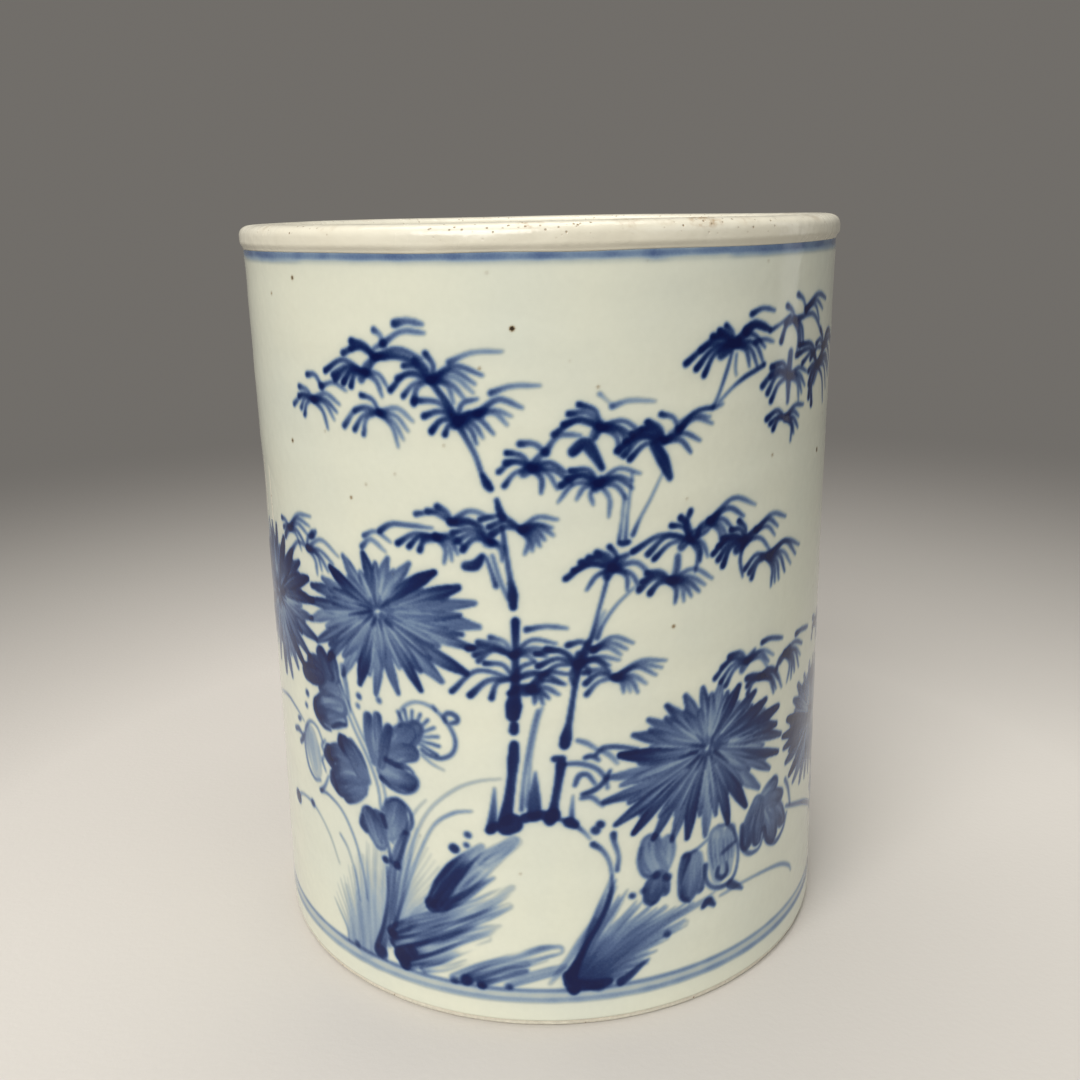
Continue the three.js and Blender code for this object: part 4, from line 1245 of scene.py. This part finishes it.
def unroll(mesh, sides, fronts, points, loops):
    """A flat layout of the wall in two strips, front half over back half, for baking."""
    turn = np.arctan2(points[:, 0], -points[:, 1])[loops]
    height = points[:, 2][loops] / MM / HEIGHT
    face = np.repeat(np.arange(len(sides)), sides)
    crossing = np.bincount(face, np.abs(turn) > 3, minlength=len(sides)) > 0
    turn = np.where(crossing[face] & (turn < 0), turn + 2 * np.pi, turn)
    middle = np.bincount(face, turn) / sides
    front = (np.abs(middle) < np.pi / 2)[face]
    from_seam = np.where(front, turn + np.pi / 2, (turn - np.pi / 2) % (2 * np.pi))
    u = 0.01 + 0.98 * from_seam / np.pi
    v = np.where(front, 0.51, 0.01) + 0.47 * height
    hidden = face >= fronts
    u = np.where(hidden, 0.01 + 0.98 * (turn + np.pi) / (3 * np.pi), u)
    v = np.where(hidden, 0.99 + 0.008 * height, v)
    layout = mesh.uv_layers.new(name="OFBake")
    layout.data.foreach_set("uv", np.column_stack([u, v]).ravel().astype(np.float32))


painted_wall = link("painted_wall", wall_mesh("painted_wall"))
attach(painted_wall, "root")
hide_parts("outer_glaze")

# %% [markdown]
# ## The cream lip
# The lip was dipped in or wiped with a thicker cream coat. It stands a little proud of the wall,
# its lower edge is a soft shoulder that dips by a tenth of a millimetre, and its crown is rounded
# by the potter's leather. The profile follows the CAD lip and the unevenness moves it.


# %% The lip
def lip_shape(radius, turn, z):
    crown = 0.07 * np.sin(2 * turn + 1.0) + 0.05 * np.sin(5 * turn) - 0.13
    share = np.clip((z - LIP_BOTTOM) / (HEIGHT - LIP_BOTTOM), 0, 1)
    on_skirt = np.clip(1 - 3 * np.abs(share - 0.3), 0, 1)
    lump = 0.05 * np.sin(17 * turn + 3 * np.sin(4 * turn)) * on_skirt
    drip = 0.5 + 0.5 * np.sin(9 * turn + 2 * np.sin(3 * turn))
    droop = -0.12 * np.clip(1 - 4 * share, 0, 1) * drip
    out = np.where(radius > clay_radius(z) - WALL / 2, 1.0, 0.3)
    return (unevenness(turn, z) + lump) * out, crown * share + droop * (out > 0.5)


SPRING = HEIGHT - LIP_ROUND
MIDDLE = float(clay_radius(SPRING)) - WALL / 2
HALF_LIP = WALL / 2 + LIP_COAT
LAP_DOWN = 0.15
LAP_IN = 0.3
LAP_PROUD = 0.03
SKIRT = LIP_BOTTOM - LAP_DOWN
SKIRT_RADIUS = float(glaze_radius(SKIRT))
SQUARENESS = 2.7
lip_profile = [(SKIRT_RADIUS - LAP_IN, SKIRT)]
for rise in np.linspace(0, 1, 9):
    bulge = LAP_PROUD + (LIP_COAT - GLAZE - 0.05) * float(soft_step(1.5 * rise))
    lip_profile.append((SKIRT_RADIUS + bulge, SKIRT + (SPRING - SKIRT) * rise))
for turn_up in np.radians(np.linspace(8, 172, 26)):
    across, up = math.cos(turn_up), math.sin(turn_up)
    across = math.copysign(abs(across) ** (2 / SQUARENESS), across)
    lip_profile.append((MIDDLE + (HALF_LIP - 0.02) * across, SPRING + LIP_ROUND * up ** (2 / SQUARENESS)))
LIP_BORE = float(bore_radius(LIP_BOTTOM))
lip_profile += [(LIP_BORE - GLAZE - 0.05, LIP_BOTTOM + 0.4)]
lip_profile += [(LIP_BORE - GLAZE + 0.02, LIP_BOTTOM - 0.05)]
lip_profile += [(LIP_BORE + 0.2, LIP_BOTTOM - 0.05)]
lip = turned("cream_lip", lip_profile, steps=720, uneven=lip_shape)
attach(lip, "root")
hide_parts("lip_dressing")

# %% [markdown]
# ## The well
# Inside, the glaze lines the wall, runs round the hollow corner and covers the floor. The floor
# keeps the spiral of the potter's fingers as low rings, softened by the glaze lying over it.


# %% The lining of the well
SPIRAL_RADIUS = 44


def well_shape(radius, turn, z):
    inner = radius < bore_radius(z) - GLAZE / 2
    on_floor = (z < FLOOR + 1.5) & (z > FLOOR + GLAZE / 2)
    spiral = 0.1 * np.sin(2 * np.pi * radius / 5.2 - turn) * np.clip(radius / 6, 0, 1)
    spiral = spiral * np.clip((SPIRAL_RADIUS - radius) / 6, 0, 1)
    wall = 0.06 * np.sin(2 * np.pi * z / 12.5 + turn) + 0.05 * np.sin(3 * turn + 1.0)
    lift = np.clip((z - FLOOR - 4) / 20, 0, 1) * np.clip((LIP_BOTTOM - z) / 6, 0, 1)
    return wall * lift * inner, spiral * on_floor


def lining_radius(z):
    return bore_radius(z) - GLAZE


fillet_centre = (float(bore_radius(FLOOR + FILLET)) - FILLET, FLOOR + FILLET)
well_profile = [(0.0, FLOOR), (20.0, FLOOR)]
well_profile += arc(fillet_centre, FILLET, FILLET, -90, 0, 8)
well_profile += along(bore_radius, FLOOR + FILLET + 4, LIP_BOTTOM, 5)
well_profile += along(lining_radius, LIP_BOTTOM, FLOOR + FILLET + 1, 56)
well_profile += arc(fillet_centre, FILLET - GLAZE, FILLET - GLAZE, 0, -90, 12)
well_profile += [(r, FLOOR + GLAZE) for r in np.linspace(fillet_centre[0] - 0.8, 0.8, 48)]
well_profile += [(0.0, FLOOR + GLAZE)]
well = turned("well_lining", well_profile, steps=240, uneven=well_shape, on_axis=True)
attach(well, "root")
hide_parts("inner_glaze")

# %% [markdown]
# ## The foot
# The pot stands on a narrow ring of bare clay, wiped clean so that it doesn't stick to the kiln
# shelf. The recess inside the ring is glazed. Its roof keeps faint rings from the turning tool.


# %% Foot ring and recess
def foot_shape(radius, turn, z):
    low = np.clip((BARE_FOOT + 0.3 - z) / 1.0, 0, 1)
    nibble = 0.05 * np.sin(23 * turn + 4 * np.sin(5 * turn)) + 0.04 * np.sin(41 * turn + radius)
    return nibble * low * 0.8, np.where(z > 0.02, np.maximum(0.5 * nibble * low, -z), 0.0)


inside_foot = float(clay_radius(RECESS_ROOF)) - FOOT_WIDTH
outside_foot = float(clay_radius(0.0))
foot_profile = [(inside_foot, BARE_FOOT)]
foot_profile += arc((inside_foot + TREAD_BEVEL, TREAD_BEVEL), 0.75, TREAD_BEVEL, 190, 270, 6)
foot_profile += [(inside_foot + 2 * TREAD_BEVEL, 0.0), (outside_foot - 1.8, 0.0)]
foot_profile += arc((outside_foot - 0.9, TREAD_BEVEL), 0.85, TREAD_BEVEL, -90, -10, 6)
foot_profile += [(float(clay_radius(BARE_FOOT)), BARE_FOOT), (float(clay_radius(RECESS_ROOF)), RECESS_ROOF)]
foot_profile += [(inside_foot, RECESS_ROOF)]
foot = turned("bare_foot_ring", foot_profile, steps=480, uneven=foot_shape)
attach(foot, "root")
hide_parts("foot_ring")


def recess_shape(radius, turn, z):
    roof = (z < RECESS_ROOF - GLAZE / 2) & (radius < inside_foot - 1.5)
    rings = 0.05 * np.sin(2 * np.pi * radius / 3.7 + 0.6 * np.sin(turn)) * np.clip(radius / 5, 0, 1)
    dome = 0.12 * (1 - (radius / inside_foot) ** 2)
    return 0 * radius, (rings * np.clip((inside_foot - 1.5 - radius) / 3, 0, 1) + dome - 0.12) * roof


CORNER_ROUND = 1.2
recess_profile = [(0.0, RECESS_ROOF - GLAZE)]
recess_profile += [(r, RECESS_ROOF - GLAZE) for r in np.linspace(0.8, inside_foot - 1.6, 52)]
corner_centre = (inside_foot - GLAZE - CORNER_ROUND, RECESS_ROOF - GLAZE - CORNER_ROUND)
recess_profile += arc(corner_centre, CORNER_ROUND, CORNER_ROUND, 90, 0, 8)
recess_profile += arc((inside_foot - GLAZE / 2, BARE_FOOT + 0.3), GLAZE / 2, 0.3, 180, 270, 5)
recess_profile += [(inside_foot, BARE_FOOT), (inside_foot, RECESS_ROOF), (0.0, RECESS_ROOF)]
recess = turned("glazed_recess", recess_profile, steps=240, uneven=recess_shape, on_axis=True)
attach(recess, "root")
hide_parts("base_glaze")

# %% [markdown]
# ## Finishes
# Every finish is built from nodes. A small helper makes a node and sets its sockets, so that each
# material reads as a list of what it is made of.


# %% A helper for nodes
def add(tree, kind, **sockets):
    """Make a node, and set or link its sockets by name or, as i0, i1 and so on, by number."""
    node = tree.nodes.new(kind)
    for name, value in sockets.items():
        if hasattr(node, name) and not isinstance(value, bpy.types.NodeSocket):
            setattr(node, name, value)
            continue
        socket = node.inputs[int(name[1:])] if name[1:].isdigit() else node.inputs[name.replace("_", " ")]
        if isinstance(value, bpy.types.NodeSocket):
            tree.links.new(value, socket)
        else:
            socket.default_value = value
    return node


def fresh(name):
    material = bpy.data.materials.new(name)
    material.use_nodes = True
    tree = material.node_tree
    tree.nodes.clear()
    return material, tree


def finish_tree(tree, shader):
    tree.links.new(shader.outputs[0], tree.nodes.new("ShaderNodeOutputMaterial").inputs[0])


def ramp(tree, value, stops, interpolation="LINEAR"):
    """A colour ramp from a list of (place, colour)."""
    node = add(tree, "ShaderNodeValToRGB", i0=value)
    node.color_ramp.interpolation = interpolation
    points = node.color_ramp.elements
    while len(points) < len(stops):
        points.new(0.5)
    for point, (place, colour) in zip(points, stops):
        point.position = place
        point.color = (*colour, 1.0) if len(colour) == 3 else colour
    return node.outputs[0]


def cloud(tree, where, scale, detail=3.0, roughness=0.5):
    noise_node = add(tree, "ShaderNodeTexNoise", Vector=where, Scale=scale)
    noise_node.inputs["Detail"].default_value = detail
    noise_node.inputs["Roughness"].default_value = roughness
    return noise_node.outputs[0]


def mix(tree, share, first, second, how="MIX"):
    node = add(tree, "ShaderNodeMix", data_type="RGBA", blend_type=how)
    for socket, value in ((node.inputs[0], share), (node.inputs[6], first), (node.inputs[7], second)):
        if isinstance(value, bpy.types.NodeSocket):
            tree.links.new(value, socket)
        else:
            socket.default_value = value if isinstance(value, float) else (*value, 1.0)
    return node.outputs[2]


def between_values(tree, value, low, high, to_low, to_high):
    node = add(tree, "ShaderNodeMapRange", i0=value, i1=low, i2=high, i3=to_low, i4=to_high)
    return node.outputs[0]


# %% [markdown]
# ## The glaze
# The clear glaze has a faint green-grey cast from a trace of iron, deeper where it lies thick. It
# is glossy, but not a mirror: its surface has a soft swell like orange peel and fine pinholes.
# Under it the cobalt goes from sky blue to almost black as it gets denser, and the ramp says how.
# Multiplying the white by that colour is what a clear coat over pigment does.

# %% Glaze colours
GLAZE_WHITE = (0.705, 0.712, 0.585)
GLAZE_GREY = (0.655, 0.675, 0.575)
DENSEST = 6.0
COBALT = [
    (0.0, (1.0, 1.0, 1.0)),
    (0.2, (0.805, 0.835, 0.875)),
    (0.4, (0.65, 0.70, 0.78)),
    (0.8, (0.42, 0.525, 0.755)),
    (1.3, (0.24, 0.34, 0.61)),
    (1.9, (0.115, 0.18, 0.43)),
    (2.8, (0.034, 0.072, 0.25)),
    (3.4, (0.014, 0.04, 0.185)),
    (4.2, (0.004, 0.018, 0.14)),
    (6.0, (0.001, 0.006, 0.09)),
]
RUST = [(0.0, (1.0, 1.0, 1.0)), (0.5, (0.5, 0.4, 0.3)), (1.0, (0.06, 0.04, 0.03))]


def bump(tree, height, strength, distance, **more):
    """A bump from a height, in metres at its full strength."""
    node = add(tree, "ShaderNodeBump", Strength=strength, Distance=distance, Height=height, **more)
    return node.outputs[0]


def glaze(name, painted):
    material, tree = fresh(name)
    where = add(tree, "ShaderNodeTexCoord").outputs["Object"]
    pooling = between_values(tree, cloud(tree, where, 38.0), 0.35, 0.7, 0.0, 1.0)
    white = mix(tree, pooling, GLAZE_WHITE, GLAZE_GREY)
    milk = between_values(tree, cloud(tree, where, 900.0, 2.0), 0.3, 0.75, 0.985, 1.01)
    white = mix(tree, 1.0, white, milk, "MULTIPLY")
    if painted:
        cobalt_here = add(tree, "ShaderNodeAttribute", attribute_name="cobalt").outputs["Fac"]
        grain = between_values(tree, cloud(tree, where, 2600.0, 2.0), 0.25, 0.75, 0.93, 1.07)
        uneven = add(tree, "ShaderNodeMath", operation="MULTIPLY", i0=cobalt_here, i1=grain).outputs[0]
        place = between_values(tree, uneven, 0.0, DENSEST, 0.0, 1.0)
        blue = ramp(tree, place, [(density / DENSEST, colour) for density, colour in COBALT])
        white = mix(tree, 1.0, white, blue, "MULTIPLY")
        iron_here = add(tree, "ShaderNodeAttribute", attribute_name="iron").outputs["Fac"]
        rust = ramp(tree, iron_here, RUST)
        white = mix(tree, 1.0, white, rust, "MULTIPLY")
    swell = cloud(tree, where, 420.0, 1.0)
    peel = bump(tree, swell, 0.12, 0.0004)
    holes = add(tree, "ShaderNodeTexVoronoi", Vector=where, Scale=230.0).outputs["Distance"]
    pits = between_values(tree, holes, 0.0, 0.06, 0.0, 1.0)
    pinholes = bump(tree, pits, 0.25, 0.0001, Normal=peel)
    rough = between_values(tree, cloud(tree, where, 60.0, 4.0), 0.3, 0.7, 0.09, 0.16)
    shader = add(tree, "ShaderNodeBsdfPrincipled", Base_Color=white, Roughness=rough, Normal=pinholes)
    shader.inputs["IOR"].default_value = 1.5
    shader.inputs["Specular IOR Level"].default_value = 0.28
    finish_tree(tree, shader)
    return material


painted_wall.data.materials.append(glaze("painted_glaze", True))
plain_glaze = glaze("plain_glaze", False)
well.data.materials.append(plain_glaze)
recess.data.materials.append(plain_glaze)

# %% [markdown]
# ## The cream coat and the bare clay
# The lip's coat is warmer than the glaze and less even. Where it was thin on the crown it has
# crawled into pinholes, and tea-coloured stains have settled in them. The bare clay of the foot
# is dry, pale and sandy, and burns to a thin orange line along the glaze.


# %% Lip and clay
STAINS = [
    # mm round the lip from the front, size, strength
    (24.3, 3.4, 1.0), (12.6, 2.6, 0.6), (-1.2, 2.2, 0.8), (18.0, 2.2, 0.35), (31.4, 2.4, 0.3),
    (-33.0, 2.4, 0.3), (-50.0, 3.0, 0.25), (50.0, 2.6, 0.3), (96.0, 3.0, 0.7), (-120.0, 3.6, 0.8),
]


def stain_mask(tree, where):
    """Soft round spots on the crown of the lip."""
    mask = 0.0
    for place, size, strength in STAINS:
        turn = place / BODY_RADIUS
        centre = corner(np.float64(BODY_RADIUS - 1.2), turn, HEIGHT - 0.7)
        away = add(tree, "ShaderNodeVectorMath", operation="DISTANCE", i0=where, i1=centre).outputs["Value"]
        spot = between_values(tree, away, size * MM, 0.3 * size * MM, 0.0, strength)
        mask = add(tree, "ShaderNodeMath", operation="MAXIMUM", i0=mask, i1=spot).outputs[0]
    return mask


def times(tree, first, second):
    return add(tree, "ShaderNodeMath", operation="MULTIPLY", i0=first, i1=second).outputs[0]


def cream_coat():
    material, tree = fresh("cream_coat")
    where = add(tree, "ShaderNodeTexCoord").outputs["Object"]
    shade = between_values(tree, cloud(tree, where, 55.0, 4.0), 0.3, 0.7, 0.0, 1.0)
    cream = mix(tree, shade, (0.76, 0.725, 0.60), (0.70, 0.655, 0.525))
    height = add(tree, "ShaderNodeSeparateXYZ", i0=where).outputs[2]
    crown = between_values(tree, height, (HEIGHT - 2.6) * MM, (HEIGHT - 1.3) * MM, 0.0, 1.0)
    near_top = between_values(tree, height, (HEIGHT - 1.8) * MM, (HEIGHT - 0.9) * MM, 0.0, 1.0)
    stains = stain_mask(tree, where)
    fine = between_values(tree, cloud(tree, where, 700.0, 3.0, 0.65), 0.44, 0.62, 0.15, 1.0)
    stained = times(tree, times(tree, stains, near_top), fine)
    cream = mix(tree, stained, cream, (0.34, 0.21, 0.085))
    patches = between_values(tree, cloud(tree, where, 90.0, 3.0), 0.42, 0.56, 0.0, 1.0)
    sites = add(tree, "ShaderNodeMath", operation="MAXIMUM", i0=patches, i1=stains).outputs[0]
    holes = add(tree, "ShaderNodeTexVoronoi", Vector=where, Scale=1000.0).outputs["Distance"]
    pit = between_values(tree, holes, 0.08, 0.22, 1.0, 0.0)
    pit = times(tree, times(tree, pit, crown), sites)
    cream = mix(tree, pit, cream, (0.30, 0.21, 0.11))
    swell = cloud(tree, where, 420.0, 2.0)
    soft = bump(tree, swell, 0.35, 0.0004)
    pitted = bump(tree, pit, 0.6, 0.0002, Normal=soft, invert=True)
    rough = between_values(tree, cloud(tree, where, 160.0, 3.0), 0.3, 0.7, 0.14, 0.3)
    coat = add(tree, "ShaderNodeBsdfPrincipled", Base_Color=cream, Roughness=rough, IOR=1.5, Normal=pitted)
    finish_tree(tree, coat)
    return material


def bare_clay():
    material, tree = fresh("bare_clay")
    where = add(tree, "ShaderNodeTexCoord").outputs["Object"]
    sand = cloud(tree, where, 1400.0, 4.0, 0.6)
    broad = between_values(tree, cloud(tree, where, 70.0, 3.0), 0.3, 0.7, 0.0, 1.0)
    clay = mix(tree, broad, (0.73, 0.71, 0.60), (0.68, 0.64, 0.53))
    grains = between_values(tree, sand, 0.3, 0.7, 0.86, 1.08)
    clay = mix(tree, 1.0, clay, grains, "MULTIPLY")
    height = add(tree, "ShaderNodeSeparateXYZ", i0=where).outputs[2]
    line = between_values(tree, height, (BARE_FOOT - 0.5) * MM, BARE_FOOT * MM, 0.0, 0.12)
    clay = mix(tree, line, clay, (0.50, 0.24, 0.09))
    dust = add(tree, "ShaderNodeTexVoronoi", Vector=where, Scale=600.0).outputs["Distance"]
    speck = between_values(tree, dust, 0.08, 0.14, 1.0, 0.0)
    clay = mix(tree, speck, clay, (0.28, 0.19, 0.12))
    sandy = bump(tree, sand, 0.5, 0.0002)
    rough = between_values(tree, broad, 0.0, 1.0, 0.72, 0.86)
    finish_tree(
        tree, add(tree, "ShaderNodeBsdfPrincipled", Base_Color=clay, Roughness=rough, Normal=sandy))
    return material


lip.data.materials.append(cream_coat())
clay = bare_clay()
foot.data.materials.append(clay)
for node in ("base_slab", "thrown_wall", "luting_coil"):
    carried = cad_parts[node]
    for slot in carried.material_slots:
        slot.material = clay
    if not carried.material_slots:
        carried.data.materials.append(clay)
print("finishes:", sorted(m.name for m in bpy.data.materials))

# %% [markdown]
# ## Floor, light and camera
# The pot stands on a pale cloth. Further out the floor's colour fades into the grey of the room,
# and there the floor glows with that grey. This is a painted glow that stands in for the lit room
# where the lamps' light would fall off, so the floor meets the grey background without a line. A
# large soft lamp lights the pot from the front left, a second one hangs above it, and a weak cool
# one fills the shade from the right. A tall narrow lamp further round is mirrored in the glaze as a
# soft strip, as a window would be. The grey of the room keeps the deep blues deep, because a
# glossy surface adds what it mirrors. The floor lies a fiftieth of a millimetre low, so that it
# doesn't share a plane with the tread of the foot. The plain view transform is set, because the
# usual one greys the blues.


# %% Floor and light
ROOM_GREY = (0.165, 0.155, 0.142)
PALE_TO = 0.13
FULL_GLOW_FROM = 0.5
FLOOR_DROP = 0.02 * MM
FLOOR_STEPS = 96
FLOOR_RINGS = [0.15, 0.5, 1.5, 6.0]


def floor_material():
    material, tree = fresh("pale_cloth_floor")
    where = add(tree, "ShaderNodeTexCoord").outputs["Object"]
    broad = between_values(tree, cloud(tree, where, 3.0, 3.0), 0.3, 0.7, 0.0, 1.0)
    tone = mix(tree, broad, (0.62, 0.59, 0.545), (0.58, 0.55, 0.51))
    # Far from the pot the cloth's colour turns to the room's grey, and the same share hands the floor over
    # to a grey glow: painted light, not a lamp.
    away = add(tree, "ShaderNodeVectorMath", operation="LENGTH", i0=where).outputs["Value"]
    far = between_values(tree, away, PALE_TO, FULL_GLOW_FROM, 0.0, 1.0)
    tone = mix(tree, far, tone, ROOM_GREY)
    fibres = cloud(tree, where, 900.0, 3.0)
    woven = bump(tree, fibres, 0.2, 0.0003)
    cloth = add(tree, "ShaderNodeBsdfPrincipled", Base_Color=tone, Roughness=0.9, Normal=woven)
    # A painted glow in the room's grey. The far floor shows it in place of lit cloth.
    room = add(tree, "ShaderNodeEmission", Color=(*ROOM_GREY, 1.0), Strength=1.0)
    finish_tree(tree, add(tree, "ShaderNodeMixShader", i0=far, i1=cloth.outputs[0], i2=room.outputs[0]))
    return material


def floor():
    mesh = bpy.data.meshes.new("floor")
    turns = [2 * math.pi * i / FLOOR_STEPS for i in range(FLOOR_STEPS)]
    points = [(0.0, 0.0, 0.0)]
    for r in FLOOR_RINGS:
        points += [(r * math.cos(turn), r * math.sin(turn), 0.0) for turn in turns]
    faces = []
    for i in range(FLOOR_STEPS):
        after = (i + 1) % FLOOR_STEPS
        faces.append((0, 1 + i, 1 + after))
        for k in range(len(FLOOR_RINGS) - 1):
            low, high = 1 + k * FLOOR_STEPS, 1 + (k + 1) * FLOOR_STEPS
            faces.append((low + i, high + i, high + after, low + after))
    mesh.from_pydata(points, [], faces)
    ground = link("floor", mesh)
    ground.location.z = -FLOOR_DROP
    mesh.materials.append(floor_material())


def lamp(name, place, aim, width, height, power, colour=(1.0, 1.0, 1.0)):
    light = bpy.data.lights.new(name, "AREA")
    light.shape = "RECTANGLE"
    light.size, light.size_y = width, height
    light.energy = power
    light.color = colour
    holder = bpy.data.objects.new(name, light)
    holder.location = place
    direction = Vector(aim) - Vector(place)
    holder.rotation_euler = direction.to_track_quat("-Z", "Y").to_euler()
    bpy.context.scene.collection.objects.link(holder)


floor()
lamp("soft_key", (-0.5, -1.05, 1.0), (0, 0, 0.06), 0.9, 0.9, 22.0, (1.0, 0.985, 0.96))
lamp("soft_top", (-0.1, 0.2, 1.3), (0, 0, 0.05), 1.0, 1.0, 9.0, (1.0, 0.985, 0.96))
lamp("cool_fill", (0.9, -0.7, 0.7), (0, 0, 0.06), 0.8, 0.8, 1.8, (0.86, 0.94, 1.0))
lamp("window_strip", (0.55, 0.12, 0.2), (0, 0, 0.08), 0.12, 0.5, 0.16)
world = bpy.data.worlds.new("grey_room")
bpy.context.scene.world = world
world.use_nodes = True
world.node_tree.nodes["Background"].inputs[0].default_value = (*ROOM_GREY, 1.0)
world.node_tree.nodes["Background"].inputs[1].default_value = 1.0
bpy.context.scene.view_settings.view_transform = "Standard"

# %% [markdown]
# The camera stands close and at the height of the lip, so the near side of the foot looks rounder
# than the lip. It looks down by about sixteen degrees and leans by one, as if held by hand.


# %% Camera
CAMERA_PLACE = (0.0, -0.21046, 0.13127)
LOOK_DOWN = 0.2864
LOOK_ASIDE = 0.0043
LEAN = -0.0195
LENS = 37.63

camera = bpy.data.objects.new("camera", bpy.data.cameras.new("camera"))
camera.data.lens = LENS
camera.data.sensor_width = 36.0
camera.data.clip_start = 0.01
turned_to = Matrix.Rotation(LOOK_ASIDE, 4, "Z") @ Matrix.Rotation(math.pi / 2 - LOOK_DOWN, 4, "X")
camera.matrix_world = Matrix.Translation(CAMERA_PLACE) @ turned_to @ Matrix.Rotation(LEAN, 4, "Z")
bpy.context.scene.collection.objects.link(camera)
bpy.context.scene.camera = camera
